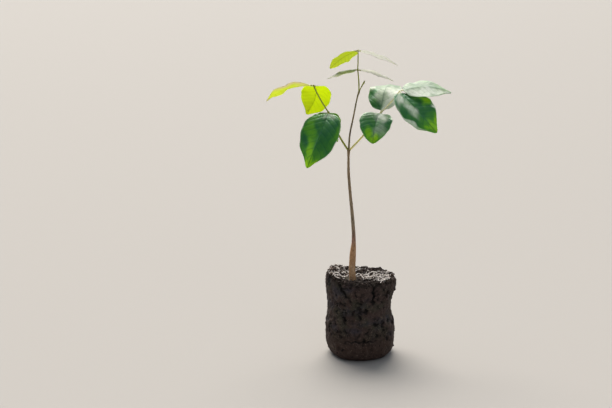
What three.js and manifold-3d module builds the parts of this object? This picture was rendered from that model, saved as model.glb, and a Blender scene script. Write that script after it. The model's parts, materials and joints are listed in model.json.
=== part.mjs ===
// Sapling on its root ball: a slender stem with three compound leaves of four leaflets each and
// a short bud shoot at the top. Millimetres, +Z up. The origin is the centre of the ball's flat
// underside, +X is the right-hand side seen from the front, and +Y goes to the back.

import * as THREE from 'three';
import { mergeVertices } from 'three/addons/utils/BufferGeometryUtils.js';
import Module from 'manifold-3d';

const wasm = await Module();
wasm.setup();

// Driving dimensions: how the pieces keep clear of each other
const CLEARANCE = 0.3;          // gap between the stem's foot and the soil
const KEEP_OUT = 0.36;          // how far a limb is widened before its neighbours are cut by it

// Driving dimensions: the root ball
const BALL_HEIGHT = 98;         // soil at the rim, before its rises and clods
const FOOT_RADIUS = 33;         // flat underside
const SEAT = { x: -10.5, y: -14.4, z: 95.1, radius: 7.5 };   // where the stem leaves the soil
const BALL_PROFILE = [          // height and radius up the side
  [0, FOOT_RADIUS], [1.2, 35.6], [4, 38.2], [9, 40.2], [17, 41.2], [28, 41.4], [39, 41.0], [50, 40.0],
  [60, 39.6], [70, 40.0], [80, 40.9], [88, 41.4], [93, 41.0], [96.4, 39.2],
];
const CROWN = [[0.12, 0], [0.22, 0.3], [0.34, 0.7], [0.48, 1.3], [0.64, 2], [0.82, 2.65]];   // way in, depth
// Pressed hollows, or bulges where the depth is below zero: azimuth, height, depth, half-span in
// degrees and half-height
const DENTS = [[5, 60, 3.2, 26, 15], [352, 91, -2.8, 38, 15], [182, 36, -1.8, 36, 18]];
const RIM_RISES = [[152, 30, 7.5], [208, 40, 3.5], [335, 30, 1.5]];   // azimuth, half-span and height
const RISE_BAND = [78, 96.4];   // heights between which the side takes up the rises
// Creases in the side: azimuth and height of the middle, half length, half width, depth, and lean
const CREASES = [
  [289.3, 86, 12, 2.4, 2.4, 0], [233.8, 87.4, 12, 3, 1.8, -49], [207.7, 37.4, 7.5, 2, 1.4, 0],
  [272, 26, 22, 2.4, 1, 90], [60, 62, 16, 2.6, 2, 20], [118, 34, 13, 2.8, 1.8, -60],
  [158, 74, 12, 2.6, 2, 35], [24, 24, 11, 2.4, 1.6, -35],
];
const BALL_SIDES = 60;
const BALL_ROW = 5;             // height between rings of the side
const CREASE_RADIUS = 41;       // where a crease's width is measured

// Driving dimensions: limbs as rows of x, y, z and radius along the middle line
const STEM = [
  [SEAT.x, SEAT.y, SEAT.z, 4.1], [-10.8, -13.9, 101, 3.85], [-11.1, -13.3, 111.4, 3.95],
  [-10.3, -12.2, 128.2, 3.75], [-9.4, -11.2, 144.7, 2.45], [-10.1, -10.1, 161.3, 2.15],
  [-12.1, -8.6, 183.4, 1.95], [-14.3, -7.2, 205.2, 1.75], [-16, -5.7, 227, 1.6],
  [-16.2, -4.6, 245, 1.4], [-16.1, -4, 252.3, 1.95],
];
const FORK = new THREE.Vector3(-16.1, -4, 252.3);
const LEADER = [
  [-16.0, -3.9, 252.3, 1.35], [-15.7, -3.4, 259, 1.1], [-14.6, -2.2, 273.4, 1.0],
  [-10.9, -0.6, 291.4, 0.95], [-6.6, 1.3, 313.8, 0.85], [-4.3, 2, 321.7, 1.15],
];
const BUD_SHOOT = [
  [-4.3, 2, 321.7, 0.7], [-2.6, 1.4, 325.6, 0.6], [-0.4, 0.8, 330, 0.75], [1.3, 0.3, 333, 1.0],
  [2.6, 0, 335.6, 0.4],
];

// Each compound leaf: where its stalk starts, its two nodes, and its radius at either end
const LEAF_STALKS = {
  left_leaf_stalk: {
    from: FORK, low: [-39.8, 10, 296.2], end: [-57.9, 20, 327.3], radii: [1.2, 0.75], bow: -2,
  },
  right_leaf_stalk: {
    from: FORK, low: [20.9, -11, 299], end: [42, -15, 324.8], radii: [1.2, 0.75], bow: 2,
  },
  top_leaf_stalk: {
    from: new THREE.Vector3(-4.3, 2, 321.7), low: [-6, 3, 347.7], end: [-5.8, 4, 370.2],
    radii: [0.8, 0.6], bow: 0.5,
  },
};
const NODE_SWELLING = 0.55;     // extra radius where leaflets join
const NODE_SPREAD = 1.8;        // how far along the stalk a swelling reaches
const FOOT_SWELLING = 0.15;     // extra radius where a stalk leaves the stem

// Driving dimensions: leaflets. Directions are azimuth and elevation in degrees. A leaflet leaves
// its node along start, droops towards end, and its upper face looks along faceBase at its base
// and faceTip at its tip. fold raises both halves from the midrib, and lowers them when negative.
const LEAFLETS = {
  left_outer: {
    stalk: 'left_leaf_stalk', at: 'end', start: [179, -1], end: [192, -41], bend: 1.2,
    faceBase: [90, 85], faceTip: [115, 54], fold: 7, length: 57, width: 34,
  },
  left_far: {
    stalk: 'left_leaf_stalk', at: 'end', start: [60, -20], end: [211, -46], bend: 0.55,
    faceBase: [72, 43], faceTip: [70, 24], fold: 14, length: 41, width: 38, stem: 5,
  },
  left_near: {
    stalk: 'left_leaf_stalk', at: 'low', start: [255, -24], end: [199, -68], bend: 0.5,
    faceBase: [255, 55], faceTip: [272, 20], fold: 10, length: 73, width: 46,
  },
  left_hidden: {
    stalk: 'left_leaf_stalk', at: 'low', start: [98, -20], end: [0, -62], bend: 0.8,
    faceBase: [90, 60], faceTip: [60, 26], fold: 10, length: 52, width: 30,
  },
  right_outer: {
    stalk: 'right_leaf_stalk', at: 'end', start: [10, 18], end: [2, -26], bend: 1,
    faceBase: [276, 70], faceTip: [272, 68], fold: -18, length: 59, width: 40, stem: 4.6,
  },
  right_near: {
    stalk: 'right_leaf_stalk', at: 'end', start: [300, -25], end: [2, -49], bend: 0.8,
    faceBase: [306, 56], faceTip: [278, 30], fold: 8, length: 64, width: 48, stem: 5.2,
  },
  right_far: {
    stalk: 'right_leaf_stalk', at: 'low', start: [75, 65], end: [72, -32], bend: 1,
    faceBase: [262, 32], faceTip: [80, 70], fold: -14, length: 73, width: 39,
  },
  right_down: {
    stalk: 'right_leaf_stalk', at: 'low', start: [247, -12], end: [262, -62], bend: 0.7,
    faceBase: [262, 70], faceTip: [268, 26], fold: 14, length: 46, width: 39, tip: 0,
  },
  top_left: {
    stalk: 'top_leaf_stalk', at: 'end', start: [150, -18], end: [168, -48], bend: 0.9,
    faceBase: [90, 76], faceTip: [104, 60], fold: -8, length: 39, width: 29,
  },
  top_right: {
    stalk: 'top_leaf_stalk', at: 'end', start: [352, -11], end: [356, -29], bend: 0.9,
    faceBase: [270, 88], faceTip: [275, 87], fold: 3, length: 46, width: 29,
  },
  top_low_left: {
    stalk: 'top_leaf_stalk', at: 'low', start: [186, -6], end: [184, -28], bend: 1,
    faceBase: [270, 83], faceTip: [272, 89], fold: -10, length: 34, width: 26,
  },
  top_low_right: {
    stalk: 'top_leaf_stalk', at: 'low', start: [4, -9], end: [0, -28], bend: 1,
    faceBase: [270, 88], faceTip: [270, 86], fold: 3, length: 41, width: 27,
  },
};
const STEM_LENGTH = 3.4;        // from the middle of the node to the blade, unless a leaflet says stem
const STEM_FOOT = 1.6;          // from the middle of the node to the short stem's foot
const LEAF_STEM_RADIUS = 0.8;   // the short stem of a leaflet
const TIP_NARROWING = 0.4;      // how much narrower the last part is drawn, unless a leaflet says tip
const BLADE_THICKNESS = 0.8;
const MIDRIB_DEPTH = 0.5;       // how far the midrib stands out below
const BLADE_ROWS = 15;
const BLADE_COLUMNS = 6;

// Materials
const finish = (color, roughness) => new THREE.MeshStandardMaterial({ color, roughness, metalness: 0 });
const SOIL = finish('#2b2320', 0.95);
const BARK = finish('#6f5a45', 0.8);
const GREEN_STALK = finish('#7d7a3c', 0.55);
const LEAF = finish('#2f5f33', 0.4);
const YOUNG_LEAF = finish('#9fb53a', 0.5);

const UP = new THREE.Vector3(0, 0, 1);

// A closed surface through rings of equal length, with a fan over each end
function skin(rings, firstHub, lastHub) {
  const count = rings[0].length;
  const points = [...rings.flat(), firstHub, lastHub];
  const first = rings.length * count;
  const last = first + 1;
  const top = (rings.length - 1) * count;
  const index = [];
  for (let j = 0; j < count; j++) {
    const next = (j + 1) % count;
    for (let i = 0; i < rings.length - 1; i++) {
      const a = i * count;
      const b = a + count;
      index.push(a + j, a + next, b + next, a + j, b + next, b + j);
    }
    index.push(first, next, j, last, top + j, top + next);
  }
  const geometry = new THREE.BufferGeometry().setFromPoints(points).setIndex(index);
  if (signedVolume(geometry) < 0) geometry.setIndex(index.reverse());
  return geometry;
}

// Volume inside a surface, below zero when its faces point inwards
function signedVolume(geometry) {
  const { index, attributes } = geometry;
  const corner = (i) => new THREE.Vector3().fromBufferAttribute(attributes.position, index.getX(i));
  let volume = 0;
  for (let i = 0; i < index.count; i += 3) {
    volume += corner(i).dot(corner(i + 1).cross(corner(i + 2))) / 6;
  }
  return volume;
}

const middle = (ring) => ring.reduce((sum, p) => sum.add(p), new THREE.Vector3()).divideScalar(ring.length);

// A closed surface as a solid that can be cut
function toSolid(geometry) {
  const merged = mergeVertices(geometry, 1e-4);
  return new wasm.Manifold(new wasm.Mesh({
    numProp: 3,
    vertProperties: new Float32Array(merged.attributes.position.array),
    triVerts: new Uint32Array(merged.index.array),
  }));
}

// A solid less its neighbours, which are already widened by the gap that is wanted
function cutClear(geometry, neighbours) {
  let solid = toSolid(geometry);
  for (const neighbour of neighbours) solid = solid.subtract(toSolid(neighbour));
  const mesh = solid.getMesh();
  const cut = new THREE.BufferGeometry();
  cut.setAttribute('position', new THREE.BufferAttribute(mesh.vertProperties, 3));
  cut.setIndex(new THREE.BufferAttribute(mesh.triVerts, 1));
  return cut;
}

// A round limb along rows of x, y, z and radius. grow widens and lengthens it, for clearance cuts.
function limb(rows, { sides = 10, perSpan = 3, grow = 0, flare = () => 1, flatFoot = false } = {}) {
  const route = new THREE.CatmullRomCurve3(rows.map(([x, y, z]) => new THREE.Vector3(x, y, z)));
  const radii = new THREE.CatmullRomCurve3(rows.map((row) => new THREE.Vector3(row[3], 0, 0)));
  const steps = (rows.length - 1) * perSpan;
  const rings = [];
  for (let i = 0; i <= steps; i++) {
    const t = i / steps;
    const along = flatFoot && i === 0 ? UP.clone() : route.getTangent(t);
    const side = new THREE.Vector3(1, 0, 0).projectOnPlane(along).normalize();
    const back = new THREE.Vector3().crossVectors(along, side);
    const centre = route.getPoint(t);
    if (grow && i === 0) centre.addScaledVector(along, -grow);
    if (grow && i === steps) centre.addScaledVector(along, grow);
    const ring = [];
    for (let j = 0; j < sides; j++) {
      const angle = (2 * Math.PI * j) / sides;
      const radius = radii.getPoint(t).x * flare(t, angle) + grow;
      ring.push(centre.clone()
        .addScaledVector(side, radius * Math.cos(angle))
        .addScaledVector(back, radius * Math.sin(angle)));
    }
    rings.push(ring);
  }
  return skin(rings, middle(rings[0]), middle(rings[steps]));
}

// The root ball: side, rounded edges, top with a hollow round the stem, and a flat underside
function rootBall() {
  const lumps = (angle, z) => 0.8 * Math.sin(3 * angle + 0.05 * z + 1)
    + 0.6 * Math.sin(5 * angle - 0.09 * z) + 0.35 * Math.sin(9 * angle + 0.16 * z + 2);
  const turnFrom = (azimuth, angle) => (
    (((THREE.MathUtils.radToDeg(angle) - azimuth + 180) % 360) + 360) % 360) - 180;
  const dent = (angle, z) => DENTS.reduce((sum, [azimuth, height, depth, span, tall]) => (
    sum + depth * Math.exp(-((turnFrom(azimuth, angle) / span) ** 2) - ((z - height) / tall) ** 2)), 0);
  const rise = (angle) => RIM_RISES.reduce((sum, [azimuth, span, height]) => (
    sum + height * Math.exp(-((turnFrom(azimuth, angle) / span) ** 2))), 0);
  const crease = (angle, z) => CREASES.reduce((sum, [azimuth, height, half, wide, depth, lean]) => {
    const sideways = THREE.MathUtils.degToRad(turnFrom(azimuth, angle)) * CREASE_RADIUS;
    const [cos, sin] = [Math.cos(THREE.MathUtils.degToRad(lean)), Math.sin(THREE.MathUtils.degToRad(lean))];
    const along = (z - height) * cos + sideways * sin;
    const across = sideways * cos - (z - height) * sin;
    return sum + depth * Math.exp(-((across / wide) ** 2) - ((along / half) ** 4));
  }, 0);
  const clods = (x, y) => Math.sin(0.34 * x + 1.3) * Math.cos(0.31 * y - 0.5)
    + 0.5 * Math.sin(0.23 * x - 0.42 * y + 2);
  const around = Array.from({ length: BALL_SIDES }, (_, j) => (2 * Math.PI * j) / BALL_SIDES);
  const levels = BALL_PROFILE.flatMap(([z, radius], i) => {
    const [nextZ, nextRadius] = BALL_PROFILE[i + 1] ?? [z, radius];
    const steps = Math.max(1, Math.round((nextZ - z) / BALL_ROW));
    return Array.from({ length: steps }, (_, k) => [
      THREE.MathUtils.lerp(z, nextZ, k / steps), THREE.MathUtils.lerp(radius, nextRadius, k / steps)]);
  });
  const rings = levels.map(([z, radius]) => around.map((angle) => {
    const lump = z === 0 ? 0 : lumps(angle, z) - dent(angle, z) - crease(angle, z);
    const raised = z + rise(angle) * THREE.MathUtils.smoothstep(z, ...RISE_BAND);
    return new THREE.Vector3((radius + lump) * Math.cos(angle), (radius + lump) * Math.sin(angle), raised);
  }));
  const rim = rings[rings.length - 1];
  const seatZ = SEAT.z - CLEARANCE;
  const seatRing = around.map((angle) => new THREE.Vector3(
    SEAT.x + SEAT.radius * Math.cos(angle), SEAT.y + SEAT.radius * Math.sin(angle), seatZ));
  for (const [inward, below] of CROWN) {
    rings.push(rim.map((p, j) => {
      const point = p.clone().lerp(seatRing[j], inward);
      point.z = BALL_HEIGHT - below + (rise(around[j]) + clods(point.x, point.y)) * (1 - inward);
      return point;
    }));
  }
  rings.push(seatRing);
  const footHub = new THREE.Vector3(9, 6, 0);
  return skin(rings, footHub, new THREE.Vector3(SEAT.x, SEAT.y, seatZ));
}

// The stalk of a compound leaf, swollen at its foot and at its two nodes
function stalkRows({ from, low, end, radii, bow }) {
  const lowNode = new THREE.Vector3(...low);
  const endNode = new THREE.Vector3(...end);
  const whole = from.distanceTo(lowNode) + lowNode.distanceTo(endNode);
  const rows = [];
  const add = (point, travelled, swelling) => {
    const taper = THREE.MathUtils.lerp(radii[0], radii[1], travelled / whole);
    rows.push([point.x, point.y, point.z, taper + swelling]);
  };
  const span = (a, b, before, bend) => {
    const length = a.distanceTo(b);
    const clear = NODE_SPREAD / length;
    for (const t of [clear, 0.3, 0.5, 0.7, 1 - clear]) {
      const point = a.clone().lerp(b, t);
      point.x += bend * Math.sin(Math.PI * t);
      add(point, before + length * t, 0);
    }
  };
  add(from, 0, FOOT_SWELLING);
  span(from, lowNode, 0, bow);
  add(lowNode, from.distanceTo(lowNode), NODE_SWELLING);
  span(lowNode, endNode, from.distanceTo(lowNode), bow / 2);
  add(endNode, whole, NODE_SWELLING);
  const onward = endNode.clone().sub(lowNode).normalize();
  add(endNode.clone().addScaledVector(onward, 0.9), whole, -0.2);
  return rows;
}

// A unit direction from its azimuth and elevation in degrees
function bearing([azimuth, elevation]) {
  const [turn, rise] = [THREE.MathUtils.degToRad(azimuth), THREE.MathUtils.degToRad(elevation)];
  return new THREE.Vector3(Math.cos(rise) * Math.cos(turn), Math.cos(rise) * Math.sin(turn), Math.sin(rise));
}

// Direction that turns from one to another along the shortest way
function turned(from, to, share) {
  const whole = from.angleTo(to);
  const a = Math.sin((1 - share) * whole) / Math.sin(whole);
  const b = Math.sin(share * whole) / Math.sin(whole);
  return from.clone().multiplyScalar(a).addScaledVector(to, b);
}

// Half the blade's width along it, as a share of its half-width: round base, drawn-out tip
function outline(u, tip) {
  const body = Math.sin(Math.PI * Math.min(u, 0.999) ** 0.7) ** 0.6;
  return body * (1 - tip * THREE.MathUtils.smoothstep(u, 0.7, 0.95));
}

// One leaflet with its short stem, from the middle of its node to the blade's tip
function leaflet(node, spec) {
  const { start, end, bend, faceBase, faceTip, fold, length, width } = spec;
  const { stem = STEM_LENGTH, tip = TIP_NARROWING } = spec;
  const [leaving, drooping] = [bearing(start), bearing(end)];
  const [baseFace, tipFace] = [bearing(faceBase), bearing(faceTip)];
  const lift = Math.tan(THREE.MathUtils.degToRad(fold));
  const spread = Math.cos(THREE.MathUtils.degToRad(fold));

  // A ring across the leaflet at share u of the blade; u below 0 is its stem
  const across = (centre, along, u) => {
    const blade = THREE.MathUtils.smoothstep(u, -0.01, 0.06);
    const share = Math.max(u, 0);
    const face = baseFace.clone().lerp(tipFace, share).projectOnPlane(along).normalize();
    const side = new THREE.Vector3().crossVectors(face, along);
    const reach = Math.max(LEAF_STEM_RADIUS * (1 - 0.5 * share), (width / 2) * outline(share, tip));
    const upper = [];
    const lower = [];
    for (let j = 0; j <= BLADE_COLUMNS; j++) {
      const v = (2 * j) / BLADE_COLUMNS - 1;
      const x = v * reach;
      const raised = blade * lift * (Math.abs(x) - (0.55 * x * x) / (width / 2));
      const round = LEAF_STEM_RADIUS * (0.45 + 0.55 * Math.sqrt(1 - v * v));
      const half = THREE.MathUtils.lerp(round, BLADE_THICKNESS / 2, blade);
      const midrib = v === 0 ? blade * MIDRIB_DEPTH * (1 - 0.6 * u) : 0;
      const point = centre.clone().addScaledVector(side, x * spread).addScaledVector(face, raised);
      upper.push(point.clone().addScaledVector(face, half));
      lower.unshift(point.clone().addScaledVector(face, -half - midrib));
    }
    return [...upper, ...lower];
  };

  const rings = [0, 0.4, 0.8].map((share) => {
    const away = THREE.MathUtils.lerp(STEM_FOOT, stem, share);
    return across(node.clone().addScaledVector(leaving, away), leaving, share - 1);
  });
  const centre = node.clone().addScaledVector(leaving, stem);
  const strides = 60;
  const rows = Array.from({ length: BLADE_ROWS + 1 }, (_, i) => (
    Math.round((strides * (1 - Math.cos((Math.PI * i) / BLADE_ROWS))) / 2)));
  for (let i = 0; i <= strides; i++) {
    const u = i / strides;
    const along = turned(leaving, drooping, u ** bend);
    if (rows.includes(i)) rings.push(across(centre, along, u));
    centre.addScaledVector(along, length / strides);
  }
  return skin(rings, middle(rings[0]), middle(rings[rings.length - 1]));
}

// Assembly: every sub-part is one named mesh
const plant = new THREE.Group();

function addPart(name, geometry, material) {
  const mesh = new THREE.Mesh(geometry, material);
  mesh.name = name;
  plant.add(mesh);
}

// Five low root lobes that fade out over the first twelfth of the stem
const flare = (t, angle) => 1 + 0.09 * Math.max(0, 1 - t * 12) * Math.cos(5 * angle + 0.6);
const stemShape = { sides: 12, perSpan: 3, flare, flatFoot: true };
const stemKeepOut = limb(STEM, { ...stemShape, grow: KEEP_OUT });
const leaderKeepOut = limb(LEADER, { grow: KEEP_OUT });

addPart('root_ball', rootBall(), SOIL);
addPart('stem', limb(STEM, stemShape), BARK);
addPart('leader', cutClear(limb(LEADER), [stemKeepOut]), BARK);

const stalkShape = { sides: 8, perSpan: 1 };
const stalkKeepOut = {};
for (const [name, spec] of Object.entries(LEAF_STALKS)) {
  const rows = stalkRows(spec);
  stalkKeepOut[name] = limb(rows, { ...stalkShape, grow: KEEP_OUT });
  addPart(name, cutClear(limb(rows, stalkShape), [stemKeepOut, leaderKeepOut]), GREEN_STALK);
}
addPart('bud_shoot', cutClear(limb(BUD_SHOOT, { sides: 8, perSpan: 2 }),
  [leaderKeepOut, stalkKeepOut.top_leaf_stalk]), GREEN_STALK);

for (const [name, spec] of Object.entries(LEAFLETS)) {
  const node = new THREE.Vector3(...LEAF_STALKS[spec.stalk][spec.at]);
  const shape = cutClear(leaflet(node, spec), [stalkKeepOut[spec.stalk]]);
  addPart(name, shape, name.startsWith('top') ? YOUNG_LEAF : LEAF);
}

export default plant;
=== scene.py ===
# %% [markdown]
# A sapling on its root ball
#
# The object is a young tree just out of its nursery bag: a slender, slightly leaning stem, three
# compound leaves of four leaflets each, a short bud shoot, and a bag-shaped ball of dark soil.
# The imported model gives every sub-part its place and size. This script keeps to those places and
# makes the surfaces: blades with ribs and veins, bark, green stalks, pressed soil, crumbs and roots.

# %% Load the frame and keep its box
import json
import math
import random
from functools import partial

import bpy
import numpy as np
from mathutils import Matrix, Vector
from mathutils.geometry import delaunay_2d_cdt

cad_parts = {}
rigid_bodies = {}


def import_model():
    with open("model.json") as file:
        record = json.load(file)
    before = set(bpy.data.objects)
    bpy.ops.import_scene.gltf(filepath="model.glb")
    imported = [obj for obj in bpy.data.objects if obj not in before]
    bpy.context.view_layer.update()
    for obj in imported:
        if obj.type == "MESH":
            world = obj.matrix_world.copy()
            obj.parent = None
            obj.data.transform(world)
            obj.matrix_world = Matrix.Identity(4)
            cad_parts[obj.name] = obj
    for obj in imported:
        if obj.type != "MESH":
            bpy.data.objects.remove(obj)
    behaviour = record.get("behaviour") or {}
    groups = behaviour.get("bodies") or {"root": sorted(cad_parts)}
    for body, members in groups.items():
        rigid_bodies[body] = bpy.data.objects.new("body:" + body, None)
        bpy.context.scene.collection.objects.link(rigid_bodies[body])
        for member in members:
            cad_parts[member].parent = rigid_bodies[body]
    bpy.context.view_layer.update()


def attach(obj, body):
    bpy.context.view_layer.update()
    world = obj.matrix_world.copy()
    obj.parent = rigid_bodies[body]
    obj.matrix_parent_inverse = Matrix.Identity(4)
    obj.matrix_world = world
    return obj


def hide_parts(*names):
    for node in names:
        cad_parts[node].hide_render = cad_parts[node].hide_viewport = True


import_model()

MM = 0.001                      # sizes below are in millimetres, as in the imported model

# %% [markdown]
# The camera
#
# The object is seen from the front and a little above. A 70 mm lens from about 1.4 m gives the
# flat perspective of a telephoto photograph.

# %% Camera
def place_object(name, data):
    """A new object of some data, linked to the scene."""
    made = bpy.data.objects.new(name, data)
    bpy.context.collection.objects.link(made)
    return made


camera = place_object("camera", bpy.data.cameras.new("camera"))
camera.data.lens = 70
camera.data.sensor_width = 36
camera.location = (-0.0666, -1.3914, 0.5082)
camera.rotation_euler = (math.radians(77), 0, 0)
bpy.context.scene.camera = camera
print("camera at", tuple(camera.location))

# %% [markdown]
# Floor and light
#
# Thin leaves look their best with the light behind them: blades seen from below glow yellow-green,
# and blades seen from above catch a white sheen. So the main light stands behind and above, where a
# leaf mirrors it towards the camera. It is a sun lamp 50 degrees across, which acts as a huge round
# softbox and still lights the whole floor evenly. The room glows softly on that side, a weak lamp
# fills in from the front, and the floor is pale and plain.

# %% Colours and floor
def linear(hex_colour):
    """An sRGB hex value as linear red, green, blue and 1."""
    parts = [int(hex_colour[i:i + 2], 16) / 255 for i in (1, 3, 5)]
    return [c / 12.92 if c <= 0.04045 else ((c + 0.055) / 1.055) ** 2.4 for c in parts] + [1.0]


paper = bpy.data.materials.new("matt_paper_floor")
paper.use_nodes = True
paper.node_tree.nodes["Principled BSDF"].inputs["Base Color"].default_value = linear("#888685")
paper.node_tree.nodes["Principled BSDF"].inputs["Roughness"].default_value = 0.9

floor_mesh = bpy.data.meshes.new("floor")
far = 12.0
floor_mesh.from_pydata([(-far, -far, 0), (far, -far, 0), (far, far, 0), (-far, far, 0)], [], [(0, 1, 2, 3)])
floor_mesh.materials.append(paper)
place_object("floor", floor_mesh)
bpy.context.scene.view_settings.view_transform = "Standard"
print("floor:", 2 * far, "m across")

# %% Lamps
def direction(azimuth, elevation):
    """A unit vector from its azimuth and elevation in degrees."""
    turn, climb = math.radians(azimuth), math.radians(elevation)
    return np.array([math.cos(climb) * math.cos(turn), math.cos(climb) * math.sin(turn), math.sin(climb)])


def aim(heading):
    """The turn that points a lamp, which shines down its own -Z, along a heading."""
    return Vector(heading).to_track_quat("-Z", "Y").to_euler()


back_light = bpy.data.lights.new("broad back light", "SUN")
back_light.energy = 6.6
back_light.angle = math.radians(50)
back_light.color = linear("#fff6e8")[:3]
place_object("broad back light", back_light).rotation_euler = aim(-direction(103, 54))

fill = bpy.data.lights.new("front fill", "AREA")
fill.shape = "SQUARE"
fill.size = 1.4
fill.energy = 9
fill.color = linear("#eef4ff")[:3]
holder = place_object("front fill", fill)
holder.location = (0.8, -1.9, 1.2)
holder.rotation_euler = aim((-0.8, 1.9, -0.9))

# %% [markdown]
# Adding nodes
#
# Materials and Geometry Nodes trees are networks of nodes. One function adds a node: its settings
# are named, and its inputs follow in order, as Blender shows them. A value may be a number, a
# colour, or another node, whose first output is then linked. A dict gives inputs by their name.
# The setting that a node mostly depends on may also stand behind its kind, after a colon.

# %% The glow of the room
PREFIXES = ("ShaderNode", "GeometryNode", "FunctionNode", "")
MAIN_SETTINGS = ("operation", "interpolation_type", "data_type", "feature", "attribute_name", "uv_map",
                 "mode", "distribute_method")


def add(tree, kind, *values, **settings):
    """Adds a node with its settings, and with values, nodes or sockets for its inputs."""
    kind, _, main = kind.partition(":")
    made = tree.nodes.new(next(p + kind for p in PREFIXES if hasattr(bpy.types, p + kind)))
    if main:
        settings[next(name for name in MAIN_SETTINGS if hasattr(made, name))] = main
    for name, value in settings.items():
        setattr(made, name, value)
    named = {key: value for value in values if isinstance(value, dict) for key, value in value.items()}
    in_order = [socket for socket in made.inputs if socket.enabled]
    pairs = [*zip(in_order, [value for value in values if not isinstance(value, dict)]),
             *((made.inputs[key], value) for key, value in named.items())]
    for socket, value in pairs:
        if isinstance(value, bpy.types.Node):
            value = next(output for output in value.outputs if output.enabled)
        if isinstance(value, bpy.types.NodeSocket):
            tree.links.new(value, socket)
        else:
            is_colour = isinstance(value, str) and value.startswith("#")
            socket.default_value = linear(value) if is_colour else value
    return made


world = bpy.data.worlds.new("pale room")
world.use_nodes = True
world.node_tree.nodes.clear()
node = partial(add, world.node_tree)
looking = node("TexCoord").outputs["Generated"]
towards_glow = node("VectorMath:DOT_PRODUCT", looking, direction(98, 30))
glow = node("MapRange:SMOOTHSTEP", towards_glow, 0.0, 1.0, 0.26, 1.4)
node("OutputWorld", node("Background", "#eef3f7", glow))
bpy.context.scene.world = world
print("room:", len(world.node_tree.nodes), "nodes")

# %% [markdown]
# Leaf tissue
#
# A leaf blade is a thin, waxy, slightly see-through sheet. Its upper face is dark green and glossy,
# its underside is paler and matt, and light that comes through it turns yellow-green. Each face
# mixes a Principled BSDF with a Translucent BSDF. The mesh carries an attribute named "leaf" with
# the share along the blade, the share out to the margin, and how near a vein lies. Two more paint
# light in patches: a yellow-green painted glow where light shone through the blade, and a whitish
# painted sheen where its upper face mirrored the light.

# %% Leaf materials
def fresh_material(name):
    """An empty material, and the function that adds a node to it."""
    made = bpy.data.materials.new(name)
    made.use_nodes = True
    made.node_tree.nodes.clear()
    return made, partial(add, made.node_tree)


def lay(node, under, colour, pattern, start, full, least, most):
    """Lays a colour over another by a pattern: least of it up to start, and most of it from full."""
    share = node("MapRange", pattern, start, full, least, most)
    return node("Mix:RGBA", share, under, colour)


def leaf_tissue(name, base, tip, vein, margin, through, shares, roughness, shine, sheen_colours):
    """One face of a leaf blade. Colours are sRGB hex values. through and shares are the colour and
    the share of the light that goes through the tissue, where it is full and where it is yellowest.
    shine is the weight of the glossy coat, and the level and the tint of the reflection below it.
    The last argument gives the colours of the painted whitish sheen, by the light that it reflects
    and by the light it lets through."""
    material, node = fresh_material(name)
    place = node("Attribute:leaf").outputs["Vector"]
    along, out, near_vein = node("SeparateXYZ", place).outputs
    # Painted glow: yellow-green patches where light shone through the blade
    thin = node("Attribute:thin").outputs["Fac"]
    sheen_mask = node("Attribute:bloom").outputs["Fac"]
    sheet = node("UVMap:blade")
    # Yellower towards the tip, in part a painted glow where light shone through the tips, and in the patches
    # of painted glow, with cloudy patches about 12 mm across
    to_tip = node("MapRange", along, 0.6, 1.08, 0.0, 0.7)
    cloudy = node("MapRange", node("TexNoise", sheet, 8.0, 3.0), 0.35, 0.65, 0.0, 0.22)
    toward_yellow = node("Math:MAXIMUM", to_tip, thin)
    mixed = node("Math:ADD", toward_yellow, cloudy, use_clamp=True)
    green = node("Mix:RGBA", mixed, base, tip)
    ribbed = node("Math:MULTIPLY", near_vein, 0.55)
    veined = node("Mix:RGBA", ribbed, green, vein)
    # A pale rim less than a millimetre wide runs round the blade: a painted highlight along the edge
    rimmed = lay(node, veined, margin, out, 0.945, 0.985, 0.0, 0.75)
    # A few small corky specks, 0.5 mm wide and some 12 mm apart
    speck = node("MapRange", node("TexVoronoi:F1", sheet, 8.0), 0.022, 0.034, 0.8, 0.0)
    specked = node("Mix:RGBA", speck, rimmed, "#4a3a1c")
    # The painted sheen is broken into patches about 5 mm wide and thinned along the veins, and where it is
    # painted, the glossy coat and the reflection fade
    sheen_breakup = node("MapRange", node("TexNoise", sheet, 19.0, 4.0), 0.36, 0.56, 0.75, 1.0)
    grooved = node("MapRange", near_vein, 0.0, 1.0, 1.0, 0.65)
    kept = node("Math:MULTIPLY", sheen_breakup, grooved)
    bloom = node("Math:MULTIPLY", sheen_mask, kept)
    colour = node("Mix:RGBA", bloom, specked, sheen_colours[0])
    unsheened = node("MapRange", sheen_mask, 0.0, 0.35, 1.0, 0.1)
    coated = node("Math:MULTIPLY", unsheened, shine[0])
    mirrored = node("Math:MULTIPLY", unsheened, shine[1])
    # The net of the finest veins, with meshes of about 1.2 mm
    net = node("TexVoronoi:DISTANCE_TO_EDGE", sheet, 83.0)
    groove = node("MapRange", net, 0.0, 0.12, 0.0, 1.0)
    bump = node("Bump", 0.2, 0.0001, {"Height": groove})
    surface = node("BsdfPrincipled", {
        "Base Color": colour, "Roughness": roughness, "IOR": 1.45, "Normal": bump,
        "Specular IOR Level": mirrored, "Specular Tint": shine[2],
        "Coat Weight": coated, "Coat Roughness": 0.3, "Coat IOR": 1.5})
    dim = node("Math:ADD", ribbed, speck, use_clamp=True)
    lit = node("Mix:RGBA", mixed, *through)
    shaded = node("Mix:RGBA", dim, lit, vein)
    # The painted sheen also whitens the light let through, and sets the share that goes through to a half
    glow = node("BsdfTranslucent", node("Mix:RGBA", bloom, shaded, sheen_colours[1]))
    tissue = node("MapRange", mixed, 0.0, 1.0, *shares)
    passed = node("Mix:FLOAT", bloom, tissue, 0.5)
    node("OutputMaterial", node("MixShader", passed, surface, glow))
    return material
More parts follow.
